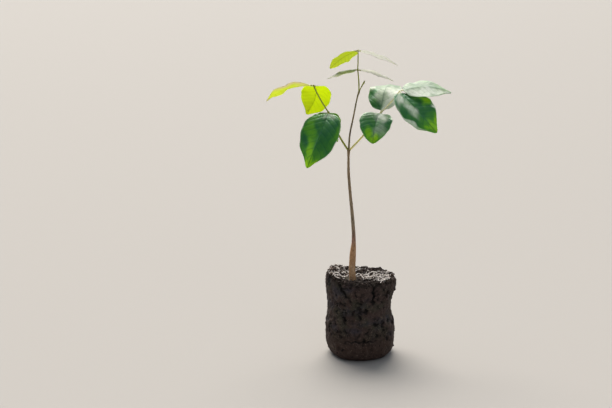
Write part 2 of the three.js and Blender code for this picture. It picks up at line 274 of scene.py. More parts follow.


# Light crosses two faces on its way through a blade, so their shares and colours multiply.
# A mature blade has a thick waxy skin above, is dull below, and lets little light through.
# The sunlit copy is brighter and lets more light through: painted light, for the blades that stood
# in the light. A young one is greyer. An underside is matt.
MATT = (0.0, 0.5, "#ffffff")
LEAF_FACES = {
    "mature": (leaf_tissue("waxy_leaf_upper_face", "#0d462c", "#44901c", "#1f5c3c", "#a9c1a0",
                           ("#84d064", "#cce648"), (0.12, 0.62), 0.34, (0.18, 0.8, "#a4dcc0"),
                           ("#f2f4f2", "#eef4f0")),
               leaf_tissue("matt_leaf_underside", "#6f9440", "#a3bb45", "#7d9a3a", "#c3cc78",
                           ("#a4d850", "#bee04b"), (0.45, 0.75), 0.55, MATT, ("#e0e4d0", "#eef4f0"))),
    # The sunlit copy of the leaf faces: painted light for the two left leaflets
    "sunlit_copy": (leaf_tissue("sunlit_copy_leaf_upper_face", "#46742a", "#6f9028", "#c0d248", "#dbe0bc",
                          ("#ecff58", "#f2ff68"), (0.48, 0.52), 0.36, (0.4, 0.5, "#ffffff"),
                          ("#d2c8b4", "#ded6bc")),
              leaf_tissue("sunlit_copy_leaf_underside", "#98a818", "#b2b828", "#c4d020", "#e2e4b8",
                          ("#eefa14", "#f2fa24"), (0.58, 0.62), 0.6, MATT, ("#d2c8b4", "#e2dac4"))),
    "young": (leaf_tissue("young_leaf_upper_face", "#3c5428", "#6c7d40", "#5c7038", "#d3cfa8",
                          ("#eaf878", "#f0f886"), (0.4, 0.44), 0.36, (0.3, 0.5, "#ffffff"),
                          ("#cdcccb", "#dedddb")),
              leaf_tissue("young_leaf_underside", "#94a62c", "#b0b850", "#92a234", "#dbd8a0",
                          ("#e4f23c", "#ecf048"), (0.52, 0.56), 0.5, MATT, ("#cdcccb", "#dedddb"))),
}
print("leaf materials:", [face.name for faces in LEAF_FACES.values() for face in faces])

# %% [markdown]
# Green stalks and bark
#
# The stem is woody: orange-brown and thick at the foot, grey-brown above, with fine lengthwise
# fissures and small pale breathing pores. Leaf stalks are smooth and olive green. The right leaf's
# stalks are a paler copy of that skin, painted light, and high up they carry a painted whitish sheen.
# Both read Object coordinates, which are real metres here, so a colour sits at a real height.

# %% Stalk and bark materials
def set_stops(band, stops):
    """Sets the stops of a colour ramp: places from 0 to 1, each with its colour."""
    for element, (at, colour) in zip(band.elements, (stops[0], stops[-1])):
        element.position, element.color = at, linear(colour)
    for at, colour in stops[1:-1]:
        band.elements.new(at).color = linear(colour)


def stalk_skin(name, base, shade, through, share, sheen_from=1.0, soiled=0.0):
    """Smooth skin with lengthwise streaks. share of the light goes through it, in the colour through.
    Above the height given after share, in metres, it has a painted whitish sheen. soiled is how much
    soil clings to it in stretches about 4 mm long."""
    material, node = fresh_material(name)
    where = node("TexCoord").outputs["Object"]
    stretch = node("Mapping", where, {"Scale": (900, 900, 160)})
    streak = node("TexNoise", stretch, 1.0, 3.0)
    tone = node("MapRange", streak, 0.35, 0.7, 0.0, 1.0)
    streaked = node("Mix:RGBA", tone, base, shade)
    height = node("SeparateXYZ", where).outputs[2]
    # Painted sheen: whitish above the given height
    sheened = lay(node, streaked, "#f4f4ea", height, sheen_from - 0.003, sheen_from + 0.003, 0.0, 0.85)
    dirty = node("MapRange", node("TexNoise", where, 230.0, 2.0), 0.48, 0.63, 0.0, soiled)
    colour = node("Mix:RGBA", dirty, sheened, "#54463b")
    bump = node("Bump", 0.3, 0.0001, {"Height": streak})
    surface = node("BsdfPrincipled", {"Base Color": colour, "Roughness": 0.42, "IOR": 1.45, "Normal": bump,
                                      "Coat Weight": 0.2, "Coat Roughness": 0.3})
    glow = node("BsdfTranslucent", through)
    clear = node("MapRange", dirty, 0.0, 1.0, share, 0.0)
    node("OutputMaterial", node("MixShader", clear, surface, glow))
    return material


def young_bark(name, stops):
    """Bark whose colour changes with height. stops are height in metres and colour."""
    material, node = fresh_material(name)
    where = node("TexCoord").outputs["Object"]
    height = node("SeparateXYZ", where).outputs[2]
    low, high = stops[0][0], stops[-1][0]
    wander = node("TexNoise", where, 140.0, 2.0)
    shift = node("Math:MULTIPLY_ADD", wander, 0.016, height)
    share = node("MapRange", shift, low + 0.008, high + 0.008)
    ramp = node("ValToRGB", share)
    set_stops(ramp.color_ramp, [((at - low) / (high - low), colour) for at, colour in stops])
    # Broad pale streaks about 2 mm wide and 15 mm long
    broad = node("Mapping", where, {"Scale": (420, 420, 60)})
    two_tone = lay(node, ramp, "#b59a78", node("TexNoise", broad, 1.0, 2.0), 0.45, 0.65, 0.0, 0.45)
    # Fine fissures about 0.6 mm apart and 5 mm long
    stretch = node("Mapping", where, {"Scale": (1500, 1500, 190)})
    streak = node("TexNoise", stretch, 1.0, 4.0)
    dark = node("MapRange", streak, 0.3, 0.58, 0.85, 0.0)
    toned = node("Mix:RGBA", dark, two_tone, "#77604f", blend_type="MULTIPLY")
    # Pale breathing pores about a millimetre wide, most of them near the foot
    dot = node("MapRange", node("TexVoronoi:F1", where, 480.0), 0.2, 0.32, 0.8, 0.0)
    low_down = node("MapRange", height, 0.104, 0.122, 1.0, 0.1)
    dotted = node("Math:MULTIPLY", dot, low_down)
    speckled = node("Mix:RGBA", dotted, toned, "#cdb39a")
    bump = node("Bump", 0.7, 0.0002, {"Height": streak})
    surface = node("BsdfPrincipled", {"Base Color": speckled, "Roughness": 0.66, "IOR": 1.45, "Normal": bump})
    node("OutputMaterial", surface)
    return material


leaf_stalk_skin = stalk_skin("green_leaf_stalk", "#8f9440", "#6c6c30", "#dce070", 0.35)
# A paler copy of the stalk skin for the right leaf, painted light, with a painted sheen above 0.3 m
lit_stalk_copy = stalk_skin("pale_leaf_stalk", "#ccc79a", "#aaa26c", "#f0ecb4", 0.4, 0.3)
stem_bark = young_bark("young_bark", [
    (0.095, "#8a6446"), (0.1, "#ab8259"), (0.108, "#bd9a74"), (0.118, "#b58d63"), (0.135, "#b08054"),
    (0.146, "#936b59"), (0.154, "#816754"), (0.163, "#8b7c65"), (0.2, "#938065"), (0.254, "#8f7858"),
])
leader_bark = young_bark("green_brown_shoot_bark", [
    (0.25, "#857648"), (0.265, "#75683f"), (0.275, "#635340"), (0.29, "#6f633f"), (0.322, "#7d7846"),
])
print("stalk materials:", leaf_stalk_skin.name, stem_bark.name, leader_bark.name)

# %% [markdown]
# Leaflets
#
# Each leaflet droops from its node in a smooth turn, and its upper face twists a little on the way.
# A blade follows a rule, but one with many terms, so it is built as two grids of points with numpy:
# the upper face and the underside, joined along the margin. Side veins leave the midrib in pairs
# and arch forward. They are pressed into the upper face and stand out below, and the tissue between
# them is slightly puffed. The margin is gently waved, and no two leaflets wave alike.

# %% Where the leaflets are
STALK_NODES = {                 # where leaflets join, in millimetres
    "left_low": (-39.8, 10, 296.2), "left_end": (-57.9, 20, 327.3),
    "right_low": (20.9, -11, 299), "right_end": (42, -15, 324.8),
    "top_low": (-6, 3, 347.7), "top_end": (-5.8, 4, 370.2),
}
# start and end: the midrib's direction at base and tip, as azimuth and elevation in degrees.
# face: where the upper face looks at base and tip. fold: how far both halves rise from the midrib.
# ruffles: bends of the margin as side, share along, spread as a share, and height in millimetres.
# Two lists of patches paint light: a yellow-green glow where light shone through, and a whitish
# sheen where the upper face mirrored the light. Each has its middle across at base and at tip,
# from -1 to 1, its half-width, its middle and half-length along, and its strength.
LEAFLETS = {
    "left_outer": dict(
        at="left_end", start=(179, -1), end=(192, -41), bend=1.2, face=((90, 85), (115, 54)),
        fold=7, length=57, width=34, face_set="sunlit_copy",
        ruffles=[(1, 0.28, 0.26, 3.0), (-1, 0.28, 0.26, 3.0), (1, 0.52, 0.06, -0.9), (-1, 0.62, 0.08, -1.2),
                 (1, 0.76, 0.09, 1.0), (-1, 0.85, 0.07, 0.8)],
        bloom=[(0, 0, 2, 0.05, 0.24, 0.7), (0.95, 0.95, 0.45, 0.36, 0.4, 1.0), (0, 0, 2, 0.5, 0.6, 0.22),
               (0, 0, 2, 1.02, 0.1, 0.9)]),
    "left_far": dict(
        at="left_end", start=(60, -20), end=(211, -46), bend=0.55, face=((72, 43), (70, 24)),
        fold=14, length=41, width=38, stem=5, face_set="sunlit_copy",
        ruffles=[(1, 0.3, 0.12, 0.8), (-1, 0.5, 0.14, -0.8)]),
    "left_near": dict(
        at="left_low", start=(255, -24), end=(199, -68), bend=0.5, face=((255, 55), (272, 20)),
        fold=10, length=73, width=46,
        thin=[(-0.85, 0, 0.28, 0.28, 0.24, 0.45), (-0.75, 0, 0.3, 0.82, 0.28, 0.75), (0, 0, 2, 1, 0.14, 1),
              (0.9, 0.9, 0.14, 0.3, 0.25, 0.3)],
        bloom=[(0.3, 0.3, 0.5, 0, 0.08, 0.4)],
        ruffles=[(-1, 0.35, 0.12, 0.9), (1, 0.62, 0.14, -0.9)]),
    "left_hidden": dict(
        at="left_low", start=(98, -20), end=(0, -62), bend=0.8, face=((90, 60), (60, 26)),
        fold=10, length=52, width=30, ruffles=[(1, 0.4, 0.12, 1.0), (-1, 0.6, 0.12, -0.8)]),
    "right_outer": dict(
        at="right_end", start=(10, 18), end=(2, -26), bend=1, face=((276, 70), (272, 68)),
        fold=-18, length=59, width=40, stem=4.6,
        ruffles=[(1, 0.3, 0.08, -2.0), (1, 0.54, 0.12, 1.2), (-1, 0.45, 0.12, -0.6), (-1, 0.72, 0.1, 0.5)],
        bloom=[(-0.5, -0.5, 0.5, 0.56, 0.7, 0.86), (0.5, 0.5, 0.55, 0.5, 0.6, 0.36)]),
    "right_near": dict(
        at="right_end", start=(300, -25), end=(2, -49), bend=0.8, face=((306, 56), (278, 30)),
        fold=8, length=64, width=48, stem=5.2,
        thin=[(0.8, 0.8, 0.3, 0.36, 0.12, 0.75), (0, 0.4, 0.9, 0.92, 0.16, 0.8)],
        ruffles=[(1, 0.35, 0.12, 1.1), (-1, 0.5, 0.12, -0.9), (1, 0.75, 0.1, -0.8)],
        bloom=[(-0.5, -0.5, 0.3, 0.14, 0.12, 0.6), (-0.2, -0.4, 0.2, 0.4, 0.16, 0.5),
               (-0.95, -0.95, 0.1, 0.6, 0.24, 0.6), (0.97, 0.97, 0.08, 0.62, 0.09, 0.9)]),
    "right_far": dict(
        at="right_low", start=(75, 65), end=(72, -32), bend=1, face=((258, 42), (80, 70)),
        fold=-14, length=73, width=39,
        ruffles=[(1, 0.44, 0.09, 3.0), (1, 0.24, 0.09, -1.2), (-1, 0.3, 0.14, 2.0), (-1, 0.6, 0.1, -1.2)],
        bloom=[(-0.6, -0.6, 0.62, 0.1, 0.5, 1.0), (0.2, 0.2, 0.26, 0.28, 0.16, 0.45),
               (0.4, 0.4, 0.7, 0.58, 0.12, 0.4), (0.92, 0.92, 0.14, 0.44, 0.08, 0.9)]),
    "right_down": dict(
        at="right_low", start=(247, -12), end=(262, -62), bend=0.7, face=((262, 70), (268, 26)),
        fold=14, length=46, width=39, tip=0,
        thin=[(-0.4, -0.4, 0.4, 0.75, 0.16, 0.7), (0, 0, 0.4, 0.95, 0.14, 1),
              (0.4, 0.2, 0.25, 0.88, 0.12, 1)],
        ruffles=[(1, 0.3, 0.1, 1.2), (-1, 0.34, 0.12, 0.9), (1, 0.66, 0.12, -0.8)],
        bloom=[(0.3, 0.3, 0.3, 0.05, 0.26, 1.0), (-0.35, -0.35, 0.35, 0, 0.12, 0.7),
               (0.4, 0.4, 0.45, 0.62, 0.16, 0.24)]),
    "top_left": dict(
        at="top_end", start=(150, -18), end=(168, -48), bend=0.9, face=((90, 76), (104, 60)),
        fold=-8, length=39, width=29, tip=0.1, face_set="young",
        ruffles=[(1, 0.45, 0.1, -1.3), (1, 0.2, 0.1, 0.6), (1, 0.7, 0.07, 0.9), (-1, 0.3, 0.1, 0.9),
                 (-1, 0.5, 0.06, -1.2), (-1, 0.72, 0.07, 0.9)]),
    "top_right": dict(
        at="top_end", start=(352, -11), end=(356, -29), bend=0.9, face=((270, 88), (275, 87)),
        fold=3, length=46, width=29, face_set="young",
        ruffles=[(-1, 0.26, 0.07, 0.9), (-1, 0.48, 0.07, -0.7), (-1, 0.7, 0.06, 0.6), (1, 0.4, 0.08, -0.7),
                 (1, 0.6, 0.07, 0.8)],
        bloom=[(0, 0, 2, 0.5, 2, 0.93)]),
    "top_low_left": dict(
        at="top_low", start=(186, -6), end=(184, -28), bend=1, face=((270, 87), (272, 91)),
        fold=-6, length=34, width=26, face_set="young",
        ruffles=[(1, 0.35, 0.3, 0.6), (1, 0.66, 0.07, -0.6), (-1, 0.5, 0.08, 0.6)],
        bloom=[(0, 0, 2, 0.95, 0.4, 0.8)]),
    "top_low_right": dict(
        at="top_low", start=(4, -9), end=(0, -28), bend=1, face=((270, 88), (270, 86)),
        fold=3, length=41, width=27, face_set="young",
        ruffles=[(-1, 0.28, 0.07, 0.7), (-1, 0.52, 0.07, -0.7), (1, 0.42, 0.08, 0.7), (1, 0.68, 0.07, -0.6)],
        bloom=[(0, 0, 2, 0.5, 2, 0.93)]),
}
LEAF_STEM = 3.4                 # from the middle of the node to the blade, unless a leaflet says stem
TIP_NARROWING = 0.4             # how much narrower the last part is drawn, unless a leaflet says tip
STEM_FOOT = 1.5                 # from the middle of the node to the leaflet's own short stem
LEAF_STEM_RADIUS = 0.8
VEIN_PAIRS = 8
BLADE_ROWS, BLADE_COLUMNS = 140, 96
BLADE_HALF = 0.22               # half the blade's thickness
USUAL_WIDTH = 46                # the leaflet width that the depth of waves and puffs is given for
print(len(LEAFLETS), "leaflets")

# %% The rule of a leaflet
def smooth(low, high, x):
    t = np.clip((x - low) / (high - low), 0, 1)
    return t * t * (3 - 2 * t)


def hump(x, width):
    """A soft bump: 1 where x is 0, and next to nothing two widths away."""
    return np.exp(-(x / width) ** 2)


def outline(u, tip):
    """Half the blade's width as a share of its widest: a round base and a drawn-out tip."""
    body = np.sin(np.pi * np.minimum(u, 0.999) ** 0.7) ** 0.6
    return body * (1 - tip * smooth(0.7, 0.95, u))


def unit(v):
    return v / np.linalg.norm(v, axis=-1, keepdims=True)


def midrib(spec):
    """Shares along the leaflet, with the stem below 0, and the points and directions there."""
    start, end = direction(*spec["start"]), direction(*spec["end"])
    whole = math.acos(float(np.clip(start @ end, -1, 1)))
    steps = 600
    fine = np.linspace(0, 1, steps + 1)
    turn = (fine ** spec["bend"] * whole)[:, None]
    along = (np.sin(whole - turn) * start + np.sin(turn) * end) / math.sin(whole)
    step = (along[1:] + along[:-1]) / 2 * spec["length"] / steps
    points = np.vstack([np.zeros(3), np.cumsum(step, axis=0)])
    even = np.linspace(0, 1, BLADE_ROWS)
    shares = 0.55 * even + 0.45 * (1 - np.cos(np.pi * even)) / 2    # closer together at both ends
    blade, turned = (np.stack([np.interp(shares, fine, of[:, k]) for k in range(3)], axis=1)
                     for of in (points, along))
    node = np.array(STALK_NODES[spec["at"]], float)
    stem = spec.get("stem", LEAF_STEM)
    foot = np.linspace(STEM_FOOT, stem, 9)[:-1]
    centre = np.vstack([node + foot[:, None] * start, node + stem * start + blade])
    heading = np.vstack([np.tile(start, (len(foot), 1)), unit(turned)])
    return np.concatenate([(foot - stem) / spec["length"], shares]), centre, heading


def patches(v, share, rows):
    """The strongest of several soft-edged patches at each place on a blade."""
    painted = np.zeros_like(share)
    for at_base, at_tip, half, at, half_length, strength in rows:
        sway = 0.1 * np.sin(11 * share + 3 * v) + 0.05 * np.sin(23 * share - 5 * v)
        sideways = np.abs(v - at_base - (at_tip - at_base) * share + sway) / half
        lengthways = np.abs(share - at + 0.04 * np.sin(9 * v + 7 * at)) / half_length
        edge = (1 - smooth(0.4, 1.5, sideways)) * (1 - smooth(0.4, 1.6, lengthways))
        painted = np.maximum(painted, strength * edge)
    return painted


def side_veins(u, out, side):
    """How near a side vein lies, and how far the tissue between is puffed, both from 0 to 1. The two
    sides of the midrib are a little out of step."""
    phase = (u - 0.03 - 0.27 * out ** 1.2 * (1 - 0.4 * u)) * VEIN_PAIRS + 0.22 * (side > 0)
    away = np.abs((phase + 0.5) % 1 - 0.5)
    inside = smooth(0.02, 0.1, u) * (1 - smooth(0.86, 0.98, out)) * (1 - smooth(0.9, 1.0, u))
    return hump(away, 0.055) * inside, (1 - hump(away, 0.2)) * inside


print("widest share of the outline:", float(outline(np.linspace(0, 1, 200), TIP_NARROWING).max()))

# %% A leaflet's points
def leaflet_mesh(name, spec):
    rng = random.Random(name)
    u, centre, along = midrib(spec)
    share = np.maximum(u, 0)[:, None]
    blade = smooth(-0.01, 0.06, u)[:, None]
    face = direction(*spec["face"][0]) * (1 - share) + direction(*spec["face"][1]) * share
    face = unit(face - (face * along).sum(1, keepdims=True) * along)
    across = np.cross(face, along)
    half_width = spec["width"] / 2
    even = np.linspace(-1, 1, BLADE_COLUMNS + 1)
    v = np.sign(even) * np.abs(even) ** 1.3                         # closer together at the midrib
    # A real margin isn't drawn with a ruler: each side is a little uneven
    uneven = 1 + 0.018 * np.sin(2 * np.pi * (share * 4.3 + rng.random()) + np.sign(v) * 1.3)
    reach = np.maximum(LEAF_STEM_RADIUS * (1 - 0.62 * share),
                       half_width * outline(share, spec.get("tip", TIP_NARROWING)))
    x = v * reach * (1 + (uneven - 1) * blade)
    out = np.abs(v) * np.ones_like(x)
    lift, spread = math.tan(math.radians(spec["fold"])), math.cos(math.radians(spec["fold"]))
    raised = blade * lift * (np.abs(x) - 0.55 * x * x / half_width)
    # The margin bends where the leaflet says so, and a little more in one slow wave
    size = spec["width"] / USUAL_WIDTH
    bent = 0.3 * size * np.sin(2 * np.pi * (2.4 * share + rng.random()) + np.sign(v))
    for side, at, spread_along, height in spec["ruffles"]:
        bent = bent + (np.sign(v) == side) * height * hump(share - at, spread_along)
    raised = raised + blade * smooth(0.1, 1.0, out) ** 1.5 * smooth(0.0, 0.15, share) * bent
    vein, puff = side_veins(share, out, np.sign(v) * np.ones_like(x))
    raised = raised + blade * 0.14 * size * puff
    rib = hump(x, 0.55)
    stalk_half = (1 - blade) * LEAF_STEM_RADIUS * np.sqrt(1 - v * v)
    thinned = BLADE_HALF - 0.1 * smooth(0.7, 1, out)
    upper_half = stalk_half + blade * (thinned - 0.3 * rib * (1 - 0.5 * share) - 0.1 * vein)
    lower_half = stalk_half + blade * (thinned + 0.62 * hump(x, 0.6) * (1 - 0.6 * share) + 0.14 * vein)
    middle = centre[:, None] + across[:, None] * (x * spread)[..., None] + face[:, None] * raised[..., None]
    upper = middle + face[:, None] * upper_half[..., None]
    lower = middle - face[:, None] * lower_half[..., None]
    return u, v, x, upper, lower, vein, rib


def paint(mesh, name, values):
    """Stores a number at each point of a mesh."""
    values = np.asarray(values).astype(np.float32).ravel()
    mesh.attributes.new(name, "FLOAT", "POINT").data.foreach_set("value", values)


def grid_faces(rows, columns, offset, flip):
    i, j = np.meshgrid(np.arange(rows - 1), np.arange(columns - 1), indexing="ij")
    a = (i * columns + j).ravel() + offset
    quads = np.stack([a, a + 1, a + columns + 1, a + columns], axis=1)
    return quads[:, ::-1] if flip else quads


print("faces of one side of a blade:", len(grid_faces(BLADE_ROWS, BLADE_COLUMNS + 1, 0, False)))

# %% Build the leaflets
UPPER, UNDER, STALK = 0, 1, 2   # the material slots of a blade


def declare(piece, node=None):
    """Sets a finished piece on the root body, and hides the imported node that it replaces."""
    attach(piece, "root")
    if node:
        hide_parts(node)
    print(piece.name, len(piece.data.polygons), "faces")


def build_leaflet(name, spec, faces):
    """faces: the materials of the upper face, the underside and the short stem."""
    u, v, x, upper, lower, vein, rib = leaflet_mesh(name, spec)
    rows, columns = len(u), len(v)
    count, last = rows * columns, (rows - 1) * columns
    points = np.vstack([upper.reshape(-1, 3), lower.reshape(-1, 3)]) * MM
    quads = [grid_faces(rows, columns, 0, False), grid_faces(rows, columns, count, True)]
    for column, flip in ((0, False), (columns - 1, True)):
        a = np.arange(rows - 1) * columns + column
        strip = np.stack([a, a + columns, a + columns + count, a + count], axis=1)
        quads.append(strip[:, ::-1] if flip else strip)
    caps = [[*range(columns), *range(count + columns - 1, count - 1, -1)],
            [*range(last + columns - 1, last - 1, -1), *range(count + last, count + last + columns)]]
    mesh = bpy.data.meshes.new(name + "_blade")
    mesh.from_pydata(points.tolist(), [], np.vstack(quads).tolist() + caps)
    for material in faces:
        mesh.materials.append(material)
    in_stem = u[:-1] < -0.002
    on_stem = np.repeat(in_stem, columns - 1)
    index = np.concatenate([np.where(on_stem, STALK, UPPER), np.where(on_stem, STALK, UNDER),
                            np.where(np.tile(in_stem, 2), STALK, UPPER), [STALK, UPPER]])
    mesh.polygons.foreach_set("material_index", index.astype(np.int32))
    mesh.polygons.foreach_set("use_smooth", np.ones(len(index), bool))
    share = np.maximum(u, 0)[:, None] * np.ones_like(x)
    near = np.clip(np.maximum(rib, 0.8 * vein), 0, 1)
    leaf = np.stack([share, np.abs(v) * np.ones_like(x), near], axis=-1).reshape(-1, 3)
    told = mesh.attributes.new("leaf", "FLOAT_VECTOR", "POINT")
    told.data.foreach_set("vector", np.vstack([leaf, leaf]).astype(np.float32).ravel())
    # The patches of painted glow and painted sheen, the same on both faces
    for marked in ("thin", "bloom"):
        paint(mesh, marked, np.tile(patches(v[None, :], share, spec.get(marked, [])).ravel(), 2))
    # The sheet of the UV map is in units of 100 mm, with the underside beside the upper face
    flat = np.stack([u[:, None] * spec["length"] * np.ones_like(x), x], axis=-1).reshape(-1, 2) / 100
    flat = np.vstack([flat, flat + (0, 0.6)])
    corners = np.zeros(len(mesh.loops), np.int32)
    mesh.loops.foreach_get("vertex_index", corners)
    mesh.uv_layers.new(name="blade").data.foreach_set("uv", flat[corners].astype(np.float32).ravel())
    mesh.validate()
    mesh.update()
    return place_object(name + "_blade", mesh)


for name, spec in LEAFLETS.items():
    face_set = spec.get("face_set", "mature")
    stalk = lit_stalk_copy if name.startswith("right") else leaf_stalk_skin
    piece = build_leaflet(name, spec, (*LEAF_FACES[face_set], stalk))
    declare(piece, name)

# %% [markdown]
# Limbs along a path
#
# A stem or stalk is one tube that follows a path, with a girth that changes along it. That is a job
# for Geometry Nodes: a line of points with a girth becomes a curve, the curve becomes a tube, and
# the tube's points move in and out a little for the bark's relief. The same tree makes the woody
# stem, the leader, the leaf stalks, the bud shoot and the fine roots of the ball.

# %% Start and end of a Geometry Nodes tree
def start_tree(name, geometry, result, inputs):
    """A tree that takes a geometry and named inputs. Gives the tree, add for it, and its inputs."""
    tree = bpy.data.node_groups.new(name, "GeometryNodeTree")
    kinds = {float: "Float", int: "Int", tuple: "Vector"}
    for label, value in {geometry: "Geometry", **inputs, "Finish": "Material"}.items():
        kind = value if isinstance(value, str) else kinds[type(value)]
        socket = tree.interface.new_socket(name=label, in_out="INPUT", socket_type="NodeSocket" + kind)
        if not isinstance(value, str):
            socket.default_value = value
    tree.interface.new_socket(name=result, in_out="OUTPUT", socket_type="NodeSocketGeometry")
    node = partial(add, tree)
    return tree, node, node("NodeGroupInput").outputs


def end_tree(node, geometry, finish):
    """The export drops instances, so the result is made real, and it gets its material."""
    whole = node("RealizeInstances", geometry)
    node("NodeGroupOutput", node("SetMaterial", whole, {"Material": finish}))


def run_nodes(source, tree, values, name):
    """Runs a tree on an object and returns the result as a plain mesh object."""
    modifier = source.modifiers.new("nodes", "NODES")
    modifier.node_group = tree
    for socket in tree.interface.items_tree:
        if socket.name in values:
            modifier[socket.identifier] = values[socket.name]
    graph = bpy.context.evaluated_depsgraph_get()
    mesh = bpy.data.meshes.new_from_object(source.evaluated_get(graph))
    source.modifiers.remove(modifier)
    mesh.name = name
    mesh.polygons.foreach_set("use_smooth", np.ones(len(mesh.polygons), bool))
    return place_object(name, mesh)


# %% The tree that makes a limb
def limb_tree():
    tree, node, given = start_tree("limb along a path", "Path", "Limb", {
        "Ring spacing": 0.0005, "Sides": 24, "Relief": 0.05, "Grain": (500, 500, 120),
        "Foot": (0, 0, 0), "Lobe height": 0.0, "Lobe depth": 0.0})
    girth = node("InputNamedAttribute:FLOAT", "girth")
    line = node("MeshToCurve", given["Path"])
    even = node("ResampleCurve:LENGTH", {"Curve": line, "Length": given["Ring spacing"]})
    ring = node("CurvePrimitiveCircle:RADIUS", given["Sides"], 1.0)
    tube = node("CurveToMesh", even, ring, girth, True)
    # Relief: noise drawn out along Z, in proportion to the girth
    where, normal = node("InputPosition"), node("InputNormal")
    drawn = node("VectorMath:MULTIPLY", where, given["Grain"])
    level = node("Math:SUBTRACT", node("TexNoise", drawn, 1.0, 4.0), 0.5)
    deep = node("Math:MULTIPLY", given["Relief"], girth)
    bark = node("Math:MULTIPLY", level, deep)
    # Root lobes: five swellings round the foot that fade out upwards
    arm = node("VectorMath:SUBTRACT", where, given["Foot"])
    east, north, up = node("SeparateXYZ", arm).outputs
    angle = node("Math:ARCTAN2", north, east)
    fives = node("Math:MULTIPLY_ADD", angle, 5.0, 0.6)
    lobe = node("Math:COSINE", fives)
    fade = node("MapRange:SMOOTHSTEP", up, 0.0, given["Lobe height"], given["Lobe depth"], 0.0)
    root = node("Math:MULTIPLY", lobe, fade)
    push = node("VectorMath:SCALE", normal, node("Math:ADD", bark, root))
    end_tree(node, node("SetPosition", tube, {"Offset": push}), given["Finish"])
    return tree


def paths_object(name, paths):
    """Lines of points in millimetres, each with its girth, as one mesh of edges."""
    points = np.vstack([p for p, _ in paths]) * MM
    edges, first = [], 0
    for p, _ in paths:
        edges += [(first + i, first + i + 1) for i in range(len(p) - 1)]
        first += len(p)
    mesh = bpy.data.meshes.new(name)
    mesh.from_pydata(points.tolist(), edges, [])
    paint(mesh, "girth", np.concatenate([g for _, g in paths]) * MM)
    return place_object(name, mesh)


def rounded(rows, per_span=12):
    """A smooth line (Catmull-Rom) through rows of x, y, z and radius."""
    rows = np.array(rows, float)
    ends = np.vstack([2 * rows[0] - rows[1], rows, 2 * rows[-1] - rows[-2]])
    t = np.linspace(0, 1, per_span, endpoint=False)[:, None]
    out = []
    for i in range(1, len(ends) - 2):
        a, b, c, d = ends[i - 1:i + 3]
        out.append(0.5 * (2 * b + (c - a) * t + (2 * a - 5 * b + 4 * c - d) * t ** 2
                          + (3 * b - a - 3 * c + d) * t ** 3))
    line = np.vstack(out + [rows[-1:]])
    return line[:, :3], np.maximum(line[:, 3], 0.05)


LIMB = limb_tree()
print("limb tree:", len(LIMB.nodes), "nodes")

# %% [markdown]
# Stem, leader, stalks and bud shoot
#
# The stem rises from a small hollow near the front of the ball, leans to the left, and thickens to
# a corky foot. Old leaf scars are slight rings. At the fork it swells, and the two leaf stalks and
# the leader leave from there. Each joint on a stalk has a swollen cushion.

# %% Routes of the limbs
SEAT = (-10.5, -14.4, 94.6)     # the middle of the stem's foot
FORK = (-16.1, -4, 252.3)
LEADER_TOP = (-4.3, 2, 321.7)
STEM = [                        # x, y, z and radius
    (*SEAT, 4.1), (-10.8, -13.9, 101, 3.85), (-11.1, -13.3, 111.4, 3.95),
    (-10.3, -12.2, 128.2, 3.75), (-9.4, -11.2, 144.7, 2.45), (-10.1, -10.1, 161.3, 2.15),
    (-12.1, -8.6, 183.4, 1.95), (-14.3, -7.2, 205.2, 1.75), (-16, -5.7, 227, 1.6),
    (-16.2, -4.6, 245, 1.4), (*FORK, 1.95), (-16, -3.7, 254.2, 1.3),
]
LEADER = [
    (-16.1, -4, 251, 1.3), (-15.7, -3.4, 259, 1.1), (-14.6, -2.2, 273.4, 1.0),
    (-10.9, -0.6, 291.4, 0.95), (-6.6, 1.3, 313.8, 0.85), (*LEADER_TOP, 1.2), (-4.2, 2, 322.4, 0.7),
]
BUD_SHOOT = [
    (*LEADER_TOP, 0.75), (-2.6, 1.4, 325.6, 0.6), (-0.4, 0.8, 330, 0.7), (1.3, 0.3, 333, 0.95),
    (2.6, 0, 335.6, 0.25),
]
STALKS = {                      # which leaf, its foot, its radii at foot and end, and how far it bows
    "left": (FORK, (1.2, 0.75), -2), "right": (FORK, (1.2, 0.75), 2), "top": (LEADER_TOP, (0.8, 0.6), 0.5),
}
SCARS = (168, 189, 209, 226, 239)                                   # heights of old leaf scars


def stalk_rows(leaf, foot, radii, bow):
    places = foot, STALK_NODES[leaf + "_low"], STALK_NODES[leaf + "_end"]
    foot, low, end = (np.array(p, float) for p in places)
    first, second = np.linalg.norm(low - foot), np.linalg.norm(end - low)

    def row(point, travelled, swelling):
        return (*point, radii[0] + (radii[1] - radii[0]) * travelled / (first + second) + swelling)

    def span(a, b, before, length, bend):
        clear = 1.8 / length
        for t in (clear, 0.3, 0.5, 0.7, 1 - clear):
            yield row(a + (b - a) * t + (bend * math.sin(math.pi * t), 0, 0), before + length * t, 0)

    onward = (end - low) / second
    return [row(foot, 0, 0.15), *span(foot, low, 0, first, bow), row(low, first, 0.55),
            *span(low, end, first, second, bow / 2), row(end, first + second, 0.5),
            row(end + 0.9 * onward, first + second, -0.2), row(end + 1.1 * onward, first + second, -0.5)]


def tube(name, paths, finish, spacing, sides, relief, grain, **more):
    """Limbs as one object. grain is how often the bark's pattern repeats in a metre across and along."""
    source = paths_object(name + "_path", paths)
    piece = run_nodes(source, LIMB, {"Ring spacing": spacing * MM, "Sides": sides, "Relief": relief,
                                     "Grain": grain, "Finish": finish, **more}, name)
    bpy.data.objects.remove(source)
    return piece


